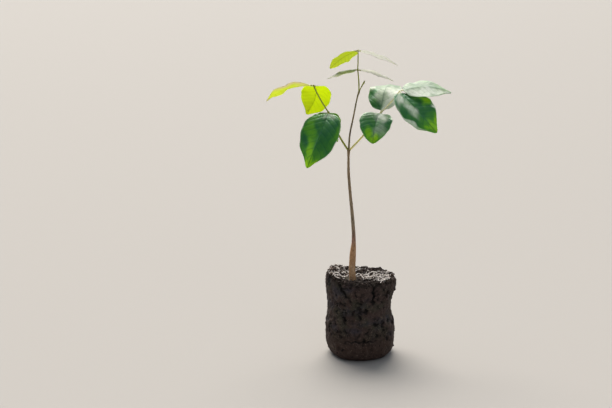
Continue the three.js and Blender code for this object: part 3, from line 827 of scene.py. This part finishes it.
stem_points, stem_radii = rounded(STEM)
for height in SCARS:                                                # a slight ring at each leaf scar
    stem_radii = stem_radii + 0.22 * hump(stem_points[:, 2] - height, 1.1)
stem = tube("stem_bark", [(stem_points, stem_radii)], stem_bark, 0.35, 64, 0.16, (420.0, 420.0, 75.0),
            **{"Foot": [c * MM for c in SEAT], "Lobe height": 13 * MM, "Lobe depth": 0.35 * MM})
declare(stem, "stem")
leader = tube("leader_bark", [rounded(LEADER)], leader_bark, 0.35, 40, 0.12, (600.0, 600.0, 110.0))
declare(leader, "leader")
for leaf, route in STALKS.items():
    name = leaf + "_leaf_stalk"
    skin = lit_stalk_copy if leaf == "right" else leaf_stalk_skin
    path = rounded(stalk_rows(leaf, *route))
    stalk = tube(name + "_skin", [path], skin, 0.3, 32, 0.08, (500.0, 500.0, 500.0))
    declare(stalk, name)
bud = tube("bud_shoot_skin", [rounded(BUD_SHOOT)], leaf_stalk_skin, 0.25, 28, 0.1, (700.0, 700.0, 300.0))
declare(bud, "bud_shoot")

# %% [markdown]
# The root ball
#
# Growing mix that was firmed into a tubular bag keeps the bag's shape when it is slipped off: a
# closely pressed side with creases, cracks and pits, a rounded bottom edge, and a crumbly open top.
# The base shape repeats the imported model's rule on a fine grid, and draws the cracks narrower than
# the model does. Geometry Nodes then press the clumps of the mix into it, and store how deep each
# point lies and how far it stands out, so that the material can paint shade into the gaps and a
# highlight onto the clumps.

# %% Sizes of the ball
BALL_HEIGHT = 98                # soil at the rim, before its rises and clods
FOOT_RADIUS = 33
RIM_LEVEL = 96.4                # where the side ends and the open top begins
SEAT_RADIUS, SEAT_LEVEL = 7.5, 96.4
BALL_PROFILE = [                # height and radius up the side
    (0, FOOT_RADIUS), (1.2, 35.6), (4, 38.2), (9, 40.2), (17, 41.2), (28, 41.4), (39, 41.0), (50, 40.0),
    (60, 39.6), (70, 40.0), (80, 40.9), (88, 41.4), (93, 41.0), (RIM_LEVEL, 39.2),
]
CROWN = [                       # way in from the rim and depth, with crumbs heaped round the stem's foot
    (0, 1.6), (0.05, 0.5), (0.12, 0), (0.22, 0.3), (0.34, 0.7), (0.48, 1.2), (0.64, 1.7), (0.82, 1.9),
    (1, 1.5),
]
# Pressed hollows, or bulges where the depth is below zero: azimuth, height, depth, half-span in
# degrees and half-height
DENTS = [(5, 60, 3.2, 26, 15), (352, 91, -2.8, 38, 15), (182, 36, -1.8, 36, 18)]
RIM_RISES = [(152, 30, 7.5), (208, 40, 3.5), (335, 30, 1.5)]         # azimuth, half-span and height
RISE_BAND = (78, RIM_LEVEL)     # heights between which the side takes up the rises
CREASES = [                     # azimuth and height of the middle, half length, half width, depth, lean
    (289.3, 86, 12, 2.4, 2.4, 0), (233.8, 87.4, 12, 3, 1.8, -49), (207.7, 37.4, 7.5, 2, 1.4, 0),
    (272, 26, 22, 2.4, 1, 90), (60, 62, 16, 2.6, 2, 20), (118, 34, 13, 2.8, 1.8, -60),
    (158, 74, 12, 2.6, 2, 35), (24, 24, 11, 2.4, 1.6, -35),
]
CREASE_RADIUS = 41              # where a crease's width is measured
PITS = [                        # azimuth, height, radius and depth of small holes where a lump fell out
    (322, 84, 2.3, 2.0), (278, 65, 2.4, 1.5), (254, 61, 1.7, 1.2), (298, 52, 1.3, 1.0), (238, 70, 1.4, 1.0),
    (263, 40, 1.2, 0.9), (225, 58, 1.1, 0.8), (310, 66, 1.4, 1.0), (20, 66, 2.1, 1.5), (78, 40, 1.8, 1.3),
    (132, 86, 2.4, 1.7), (172, 52, 1.6, 1.1), (98, 78, 1.5, 1.1), (196, 80, 1.3, 1.0), (48, 86, 1.6, 1.2),
    (150, 30, 1.3, 0.9), (345, 48, 1.7, 1.2),
]
BALL_SIDES, SIDE_ROWS, TOP_ROWS = 410, 152, 66
UNDER_MIDDLE = (9, 6, 0)        # where the fan of faces on the flat underside meets
print(len(CREASES), "creases and", len(PITS), "pits")

# %% Base shape of the ball
def turn_from(azimuth, angle):
    return (np.degrees(angle) - azimuth + 180) % 360 - 180


def rise(angle):
    """How much higher the rim stands at an angle."""
    return sum(height * hump(turn_from(azimuth, angle), span) for azimuth, span, height in RIM_RISES)


def clods(x, y):
    return np.sin(0.34 * x + 1.3) * np.cos(0.31 * y - 0.5) + 0.5 * np.sin(0.23 * x - 0.42 * y + 2)


def torn(angle, z):
    """Depth of the creases and pits at a place on the side."""
    depth = np.zeros(np.broadcast(angle, z).shape)
    for azimuth, height, half, wide, deep, lean in CREASES:
        sideways = np.radians(turn_from(azimuth, angle)) * CREASE_RADIUS
        cos, sin = math.cos(math.radians(lean)), math.sin(math.radians(lean))
        along = (z - height) * cos + sideways * sin
        across = sideways * cos - (z - height) * sin + 0.9 * np.sin(0.7 * along + azimuth)
        slit = 0.42 * wide * (1 + 0.35 * np.sin(1.3 * along))
        profile = 0.4 * hump(across, wide) + 0.8 * hump(across, slit)
        depth = depth + deep * profile * np.exp(-(along / half) ** 4)
    for azimuth, height, radius, deep in PITS:
        sideways, up = np.radians(turn_from(azimuth, angle)) * CREASE_RADIUS, z - height
        away = np.hypot(sideways * 1.15, up * 0.9) + 0.25 * radius * np.sin(3 * np.arctan2(sideways, up))
        depth = depth + deep * np.exp(-(away / radius) ** 4)
    return depth


def side_point(angle, z):
    """A place on the side, in millimetres, from its angle and its height before the rises."""
    heights, radii = np.array(BALL_PROFILE).T
    lumps = (0.8 * np.sin(3 * angle + 0.05 * z + 1) + 0.6 * np.sin(5 * angle - 0.09 * z)
             + 0.35 * np.sin(9 * angle + 0.16 * z + 2))
    dent = sum(depth * np.exp(-(turn_from(azimuth, angle) / span) ** 2 - ((z - height) / tall) ** 2)
               for azimuth, height, depth, span, tall in DENTS)
    radius = np.interp(z, heights, radii) + (lumps - dent - torn(angle, z)) * smooth(0, 1.2, z)
    level = z + rise(angle) * smooth(*RISE_BAND, z)
    return np.stack([radius * np.cos(angle), radius * np.sin(angle), level], axis=-1)


def crown_point(angle, inward):
    """A place on the open top: inward is 0 on the rim and 1 where the stem's seat begins."""
    rim = side_point(angle, RIM_LEVEL + 0 * angle)
    seat = np.stack([SEAT[0] + SEAT_RADIUS * np.cos(angle), SEAT[1] + SEAT_RADIUS * np.sin(angle)], axis=-1)
    flat = rim[..., :2] * (1 - inward[..., None]) + seat * inward[..., None]
    ways, depths = np.array(CROWN).T
    lumpy = clods(flat[..., 0], flat[..., 1]) * smooth(0, 0.12, inward)
    level = BALL_HEIGHT - np.interp(inward, ways, depths) + (rise(angle) + lumpy) * (1 - inward)
    return np.concatenate([flat, level[..., None]], axis=-1)


def ball_object():
    angle = np.linspace(0, 2 * np.pi, BALL_SIDES, endpoint=False)[None, :]
    z = RIM_LEVEL * np.linspace(0, 1, SIDE_ROWS)[:, None] ** 1.06
    inward = np.linspace(0, 1, TOP_ROWS + 1)[1:, None] ** 0.92
    grid = np.concatenate([side_point(angle, z), crown_point(angle + 0 * inward, inward + 0 * angle)])
    rows, columns = grid.shape[:2]
    points = np.vstack([grid.reshape(-1, 3), [UNDER_MIDDLE], [[SEAT[0], SEAT[1], SEAT_LEVEL]]]) * MM
    i, j = np.meshgrid(np.arange(rows - 1), np.arange(columns), indexing="ij")
    k = (j + 1) % columns
    low, high = i * columns, (i + 1) * columns
    quads = np.stack([low + j, low + k, high + k, high + j], axis=-1)
    under, peak, last = rows * columns, rows * columns + 1, (rows - 1) * columns
    fans = [(under, (c + 1) % columns, c) for c in range(columns)]
    fans += [(peak, last + c, last + (c + 1) % columns) for c in range(columns)]
    mesh = bpy.data.meshes.new("ball_base")
    mesh.from_pydata(points.tolist(), [], quads.reshape(-1, 4).tolist() + fans)
    paint(mesh, "torn", np.append(torn(angle, z), np.zeros(TOP_ROWS * columns + 2)))
    return place_object("ball_base", mesh)


ball_base = ball_object()
print("ball grid:", len(ball_base.data.vertices), "points")

# %% The tree that presses the soil
def soil_tree():
    tree, node, given = start_tree("pressed soil", "Ball", "Soil", {
        "Clump width": 0.0065, "Side relief": 0.001, "Top relief": 0.0022, "Rim height": 0.094})
    where, normal = node("InputPosition"), node("InputNormal")
    height = node("SeparateXYZ", where).outputs[2]
    upward = node("SeparateXYZ", normal).outputs[2]
    # Clumps wander, so that no gap between them is straight
    drift = node("TexNoise", where, 260.0, 2.0).outputs["Color"]
    swing = node("VectorMath:MULTIPLY_ADD", drift, (0.0035, 0.0035, 0.0035), where)
    per_metre = node("Math:DIVIDE", 1.0, given["Clump width"])
    clump = node("MapRange", node("TexVoronoi:F1", swing, per_metre), 0.1, 0.8, 0.5, -0.5)
    grain = node("MapRange", node("TexNoise", where, 200.0, 4.0, 0.55), 0.3, 0.7, -0.9, 0.9)
    rough = node("Math:MULTIPLY_ADD", clump, 0.7, grain)
    # Broad noise leaves some stretches pressed smooth, and the lowest quarter is smoother all round
    loose = node("MapRange", node("TexNoise", where, 55.0, 2.0), 0.35, 0.65, 0.45, 1.35)
    firm = node("MapRange:SMOOTHSTEP", height, 0.016, 0.034, 0.4, 1.0)
    side = node("Math:MULTIPLY", loose, firm)
    sides = node("Math:MULTIPLY", side, given["Side relief"])
    tops = node("Math:MULTIPLY", loose, given["Top relief"])
    above = node("MapRange:SMOOTHSTEP", height, given["Rim height"], 0.0985)
    facing = node("MapRange:SMOOTHSTEP", upward, 0.25, 0.75)
    open_top = node("Math:MULTIPLY", facing, above)
    tall = node("Mix:FLOAT", open_top, sides, tops)
    lump = node("Math:MULTIPLY", rough, tall)
    # The underside stays flat
    stands = node("MapRange:SMOOTHSTEP", height, 0.0002, 0.004)
    kept = node("Math:MULTIPLY", lump, stands)
    push = node("VectorMath:SCALE", normal, kept)
    # What lies deep, the gaps between clumps and the cracks and pits, for painted shade; and what stands out,
    # for a painted highlight
    low = node("MapRange", rough, -0.15, -0.8)
    gap = node("Math:MULTIPLY", low, side)
    cracked = node("InputNamedAttribute:FLOAT", "torn")
    crack = node("MapRange", cracked, 0.35, 1.1)
    told = given["Ball"]
    for label, value in (("deep", node("Math:MAXIMUM", crack, gap)), ("proud", rough)):
        told = node("StoreNamedAttribute:FLOAT", told, {"Name": label, "Value": value}, domain="POINT")
    end_tree(node, node("SetPosition", told, {"Offset": push}), given["Finish"])
    return tree


# %% Soil material
def soil_surface(node, colour, roughness, grain, depth):
    """Matt mix with fine grain, which ends a soil material."""
    bump = node("Bump", 0.6, depth, {"Height": grain})
    surface = {"Base Color": colour, "Roughness": roughness, "IOR": 1.4, "Specular IOR Level": 0.25}
    node("OutputMaterial", node("BsdfPrincipled", {**surface, "Normal": bump}))


def pressed_soil(name):
    """Moist growing mix, pressed by the bag: dark brown, with painted shade in the gaps and pale grit."""
    material, node = fresh_material(name)
    where = node("TexCoord").outputs["Object"]
    height = node("SeparateXYZ", where).outputs[2]
    deep, proud = (node("Attribute:" + label).outputs["Fac"] for label in ("deep", "proud"))
    # Brown mix with olive and bluish stretches about 15 mm wide, and redder towards the bottom
    stretches = node("TexNoise", where, 60.0, 3.0)
    olive = node("MapRange", stretches, 0.45, 0.62)
    base = node("Mix:RGBA", olive, "#372a26", "#37342b")
    hue = node("SeparateXYZ", stretches.outputs["Color"]).outputs[1]
    cooled = lay(node, base, "#2c2d38", hue, 0.5, 0.68, 0.0, 0.6)
    settled = lay(node, cooled, "#3a2c26", height, 0.04, 0.02, 0.0, 1.0)
    # Painted highlight: the clumps that stand out are lighter
    clumps_highlit = lay(node, settled, "#52463f", proud, 0.1, 0.9, 0.0, 0.5)
    # A few pale grains of grit, under a millimetre wide
    specked = lay(node, clumps_highlit, "#7a6d64", node("TexNoise", where, 900.0, 1.0), 0.66, 0.72, 0.0, 0.6)
    # Painted shade: near black in the gaps between clumps and in the cracks and pits
    colour = node("Mix:RGBA", deep, specked, "#0b0706")
    moist = node("MapRange", stretches, 0.35, 0.65, 0.6, 0.88)
    soil_surface(node, colour, moist, node("TexNoise", where, 800.0, 4.0, 0.6), 0.0005)
    return material


soil_finish = pressed_soil("moist_pressed_growing_mix")
soil = run_nodes(ball_base, soil_tree(), {"Finish": soil_finish}, "root_ball_soil")
bpy.data.objects.remove(ball_base)
declare(soil, "root_ball")

# %% [markdown]
# Crumbs
#
# The open top is a heap of crumbs with dark gaps, and a few cling to the side. Crumbs along the rim
# may be pale: painted light. In front of the stem's foot they are kept dark, a painted shade, and at
# the back too, a painted shadow. One crumb is a lumpy pebble with few faces. Geometry Nodes scatter
# thousands of them by a painted density, each turned and sized at random from a fixed seed, and
# deal out a tint that is random, and paler where the light is painted.

# %% Crumb shapes
GOLDEN = (1 + 5 ** 0.5) / 2
CORNERS = [np.roll((a, b * GOLDEN, 0), k) for k in range(3) for b in (1, -1) for a in (-1, 1)]
TRIANGLES = [                   # the 20 even faces of the solid with those corners
    (0, 11, 5), (0, 5, 1), (0, 1, 7), (0, 7, 10), (0, 10, 11), (1, 5, 9), (5, 11, 4), (11, 10, 2), (10, 7, 6),
    (7, 1, 8), (3, 9, 4), (3, 4, 2), (3, 2, 6), (3, 6, 8), (3, 8, 9), (4, 9, 5), (2, 4, 11), (6, 2, 10),
    (8, 6, 7), (9, 8, 1)]


def crumb_shape(seed, finer):
    """A lumpy pebble about one unit in radius: 20 faces, or 80 when it is to be seen larger."""
    rng = random.Random(seed)
    points, faces = [Vector(c).normalized() for c in CORNERS], TRIANGLES
    if finer:
        halves, faces = {}, []
        for triangle in TRIANGLES:
            mids = []
            for p, q in zip(triangle, triangle[1:] + triangle[:1]):
                key = (min(p, q), max(p, q))
                if key not in halves:
                    halves[key] = len(points)
                    points.append((points[p] + points[q]).normalized())
                mids.append(halves[key])
            (a, b, c), (ab, bc, ca) = triangle, mids
            faces += [(a, ab, ca), (b, bc, ab), (c, ca, bc), (ab, bc, ca)]
    stretch = Vector((rng.uniform(0.8, 1.3), rng.uniform(0.7, 1.1), rng.uniform(0.5, 0.85)))
    points = [p * stretch * rng.uniform(0.72, 1.18) for p in points]
    mesh = bpy.data.meshes.new(f"crumb_{seed}")
    mesh.from_pydata([tuple(p) for p in points], [], faces)
    return bpy.data.objects.new(f"crumb_{seed}", mesh)


def shape_set(name, seeds, finer):
    kept = bpy.data.collections.new(name)
    for seed in seeds:
        kept.objects.link(crumb_shape(seed, finer))
    return kept


small_shapes = shape_set("crumb shapes", range(6), False)
large_shapes = shape_set("clod shapes", range(6, 12), True)

# %% The tree that scatters them
TURN = 6.28                     # once round, in radians


def scatter(node, soil, kind, painted, pale, density, smallest, largest, seed):
    """One scatter of a collection's shapes over the soil, with a tint for each shape."""
    dealt = node("Math:MULTIPLY", painted, density)
    points = node("DistributePointsOnFaces:RANDOM", {"Mesh": soil, "Density": dealt, "Seed": seed})
    chance = node("RandomValue:FLOAT", 0.0, 1.0, {"Seed": seed + 20})
    paled = node("Math:MULTIPLY", chance, pale)
    told = node("StoreNamedAttribute:FLOAT", points, {"Name": "tint", "Value": paled}, domain="POINT")
    shapes = node("CollectionInfo", kind, True, True)
    turn = node("RandomValue:FLOAT_VECTOR", (0, 0, 0), (TURN, TURN, TURN), {"Seed": seed + 40})
    facing = node("EulerToRotation", turn)
    # Many small ones and few large ones: the random share is raised to a power
    share = node("RandomValue:FLOAT", 0.0, 1.0, {"Seed": seed + 60})
    size = node("MapRange", node("Math:POWER", share, 2.0), 0.0, 1.0, smallest, largest)
    return node("InstanceOnPoints", {"Points": told, "Instance": shapes, "Pick Instance": True,
                                     "Rotation": facing, "Scale": size})


def crumb_tree():
    tree, node, given = start_tree("scattered crumbs", "Soil", "Crumbs", {
        "Crumbs": "Collection", "Clods": "Collection", "Crumb density": 1000000.0, "Clod density": 50000.0,
        "Crumb size": 0.0008, "Clod size": 0.0021})
    painted, pale = (node("InputNamedAttribute:FLOAT", label) for label in ("crumbly", "dry"))
    scatters = [scatter(node, given["Soil"], given[kind + "s"], painted, pale, given[kind + " density"],
                        smallest, given[kind + " size"], seed)
                for kind, smallest, seed in (("Crumb", 0.00035, 3), ("Clod", 0.0009, 7))]
    both = node("JoinGeometry")
    for made in scatters:
        tree.links.new(made.outputs[0], both.inputs[0])
    end_tree(node, both, given["Finish"])
    return tree


# %% Crumb material
def tinted_crumb(name):
    """Loose mix, dark to greyish by each crumb's tint, which is random and paler where the light is painted.
    """
    material, node = fresh_material(name)
    ramp = node("ValToRGB", node("Attribute:tint").outputs["Fac"])
    set_stops(ramp.color_ramp, [(0, "#1d1614"), (0.4, "#2a221f"), (0.75, "#463b35"), (0.9, "#7a6b63"),
                                (1, "#b5a69d")])
    where = node("TexCoord").outputs["Object"]
    soil_surface(node, ramp, 0.9, node("TexNoise", where, 1600.0, 2.0), 0.0002)
    return material


# %% Scatter the crumbs
def painted_light_share(x, y):
    """Painted light on the top: 1 where it is lit, and 0 for the painted shade in front of the stem
    and the painted shadow at the back. Towards the right it is a quarter less.
    """
    ragged = 1.4 * np.sin(0.5 * x + 1) + 1.1 * np.sin(0.9 * x + 0.4 * y)
    front = smooth(-13, -18, y + ragged) * smooth(-29, -24, x + ragged) * smooth(24, 17, x + ragged)
    back = smooth(7, 13, y + ragged) * smooth(-18, -8, x + ragged)
    return (1 - front) * (1 - 0.97 * back) * (1 - 0.25 * smooth(10, 28, x))


def paint_soil(mesh):
    """How crumbly the ball is, and how pale its crumbs may be, with painted light: most of both along the
    rim, little on the side.
    """
    places = np.zeros(len(mesh.vertices) * 3, np.float32)
    mesh.vertices.foreach_get("co", places)
    x, y, z = places.reshape(-1, 3).T / MM
    angle, out = np.arctan2(y, x), np.hypot(x, y)
    from_seat = np.hypot(x - SEAT[0], y - SEAT[1])
    level = z - rise(angle)
    top = smooth(92.0, 96.0, level) * smooth(4.0, 5.0, from_seat)
    paint(mesh, "crumbly", top * (0.8 + 0.2 * smooth(26, 33, out)) + 0.02 * (z > 6) * (level < 92))
    # Crumbs may be pale where light is painted along the rim
    paint(mesh, "dry", 0.35 + 0.5 * painted_light_share(x, y) * smooth(92.5, 95.5, level))


paint_soil(soil.data)
crumbs = run_nodes(soil, crumb_tree(), {
    "Crumbs": small_shapes, "Clods": large_shapes, "Crumb density": 1050000.0, "Clod density": 90000.0,
    "Crumb size": 0.0009, "Clod size": 0.0024, "Finish": tinted_crumb("soil_crumb_painted_light")}, "soil_crumbs")
for shape in [*small_shapes.objects, *large_shapes.objects]:
    bpy.data.objects.remove(shape)
declare(crumbs)

# %% [markdown]
# Fine roots
#
# A lace of pale rootlets holds the lit part of the top together, with dark holes between. Its pale
# strands also stand for the lit edges of crumbs, a painted highlight, and it lies only where light
# is painted. Its nodes are strewn over the top, Delaunay triangles join neighbours, and a part of
# their sides become rootlets that arch from node to node. Finer ones wander loose among them, and a
# few run over the left rim and down. Thin brown roots that met the bag's wall run over the side.
# Those are random walks over the ball's surface, from a fixed seed. The limb tree turns them all
# into thin tubes.

# %% Walks of single roots
STEP = 1.1                      # of a walk down or along the side
FINE_STEP = 0.8                 # of a walk over the open top
HELD, CLINGING = 0.998, 1.01    # a root that the side holds, and one that lies on it, by its radius


def at(place, angle, level):
    """One point of the side or the crown, from plain numbers."""
    return place(np.array(angle), np.array(level))


def side_root(rng):
    angle, z = rng.uniform(0, 2 * math.pi), rng.uniform(14, 90)
    heading, points = rng.choice([-1, 1]) * rng.uniform(0.3, 1.5), []
    for _ in range(int(rng.uniform(8, 22))):
        points.append(at(side_point, angle, z) * (HELD, HELD, 1))
        heading += rng.gauss(0, 0.35)
        angle += STEP * math.cos(heading) / CREASE_RADIUS
        z = min(max(z + STEP * math.sin(heading), 8), 92)
    return points


def rim_root(rng):
    """A rootlet that leaves the lace over the left rim and runs down the side."""
    angle, level = math.radians(rng.uniform(168, 196)), RIM_LEVEL
    lean, points = rng.gauss(0, 0.3), []
    for inward in (0.14, 0.1, 0.06, 0.03):
        points.append(at(crown_point, angle, inward) + (0, 0, rng.uniform(0.3, 1.0)))
    for _ in range(int(rng.uniform(6, 18))):
        points.append(at(side_point, angle, level) * (CLINGING, CLINGING, 1))
        lean = 0.85 * lean + rng.gauss(0, 0.3)
        angle += STEP * math.sin(lean) / CREASE_RADIUS
        level -= STEP * math.cos(lean)
    return points


def loose_root(rng):
    """A fine rootlet that wanders over the part where light is painted, dips into the crumbs and comes out
    again.
    """
    while True:
        angle, inward = rng.uniform(0, 2 * math.pi), rng.uniform(0, 0.75)
        if rng.random() < painted_light_share(*at(crown_point, angle, inward)[:2]):
            break
    heading = rng.uniform(0, 2 * math.pi)
    beat, start, points = rng.uniform(0.5, 1.1), rng.uniform(0, TURN), []
    for step in range(int(rng.uniform(5, 14))):
        points.append(at(crown_point, angle, inward) + (0, 0, 0.6 + 0.8 * math.sin(beat * step + start)))
        heading += rng.gauss(0, 0.5)
        angle += FINE_STEP * math.cos(heading) / (40 - 30 * inward)
        inward = min(max(inward + FINE_STEP * math.sin(heading) / 34, 0.01), 0.85)
    return points


def roots(count, walk, seed, thick):
    """Paths of several single roots, each tapering to its end."""
    rng = random.Random(seed)
    paths = []
    for _ in range(count):
        points = np.array(walk(rng))
        taper = np.linspace(1, 0.4, len(points))
        paths.append((points, taper * rng.uniform(*thick)))
    return paths


side_paths = roots(13, side_root, 5, (0.12, 0.22))
print("roots in the side:", len(side_paths))

# %% The lace and the finished roots
TRIES = 6000                    # places tried for the lace's nodes
LONGEST = 2.3                   # a rootlet of the lace, in spacings


def lace(seed, spacing, kept, thick):
    """Paths of a net over the part where light is painted. kept is the share of the triangles' sides that it
    follows.
    """
    rng = random.Random(seed)
    nodes = []
    for _ in range(TRIES):
        angle, inward = rng.uniform(0, 2 * math.pi), rng.random() ** 1.4 * 0.88
        place = at(crown_point, angle, inward)
        if rng.random() > painted_light_share(*place[:2]):
            continue
        if all(math.hypot(place[0] - n[2][0], place[1] - n[2][1]) > spacing for n in nodes):
            nodes.append((angle, inward, place, rng.uniform(0.3, 2.7)))
    flat = [Vector(n[2][:2]) for n in nodes]
    paths, shares = [], np.linspace(0, 1, 10)
    for first, last in delaunay_2d_cdt(flat, [], [], 0, 1e-6)[1]:
        if (flat[first] - flat[last]).length > LONGEST * spacing or rng.random() > kept:
            continue
        a, b = nodes[first], nodes[last]
        across = (b[0] - a[0] + math.pi) % (2 * math.pi) - math.pi
        bow, arch, girth = rng.gauss(0, 0.03), rng.gauss(-0.1, 0.9), rng.uniform(*thick)
        beat, wriggle = rng.uniform(4, 9), rng.gauss(0, 0.012)
        points = []
        for t in shares:
            swing = math.sin(math.pi * t)
            strayed = bow * swing + wriggle * math.sin(beat * t) * swing
            inward = min(max(a[1] + (b[1] - a[1]) * t + strayed, 0), 0.9)
            place = at(crown_point, a[0] + across * t + bow * swing - strayed, inward)
            points.append(place + (0, 0, a[3] + (b[3] - a[3]) * t + arch * swing))
        paths.append((np.array(points), girth * (1 - 0.4 * np.sin(np.pi * shares))))
    return paths


ROOT_TUBE = (0.8, 6, 0.3, (900.0, 900.0, 900.0))                    # ring spacing, sides, relief and grain
rim_paths = (lace(4, 4.2, 0.56, (0.28, 0.64)) + roots(90, loose_root, 9, (0.14, 0.3))
             + roots(7, rim_root, 3, (0.2, 0.36)))
# The lace's near-white is partly a painted highlight, for the lit edges of crumbs
pale_skin = stalk_skin("pale_rootlet_skin", "#e8e4e2", "#cbc3be", "#f2f0f0", 0.6, soiled=0.85)
brown_skin = stalk_skin("brown_root_skin", "#4d3f35", "#372c25", "#4d3f35", 0.0)
declare(tube("rim_rootlets", rim_paths, pale_skin, *ROOT_TUBE))
declare(tube("side_roots", side_paths, brown_skin, *ROOT_TUBE))
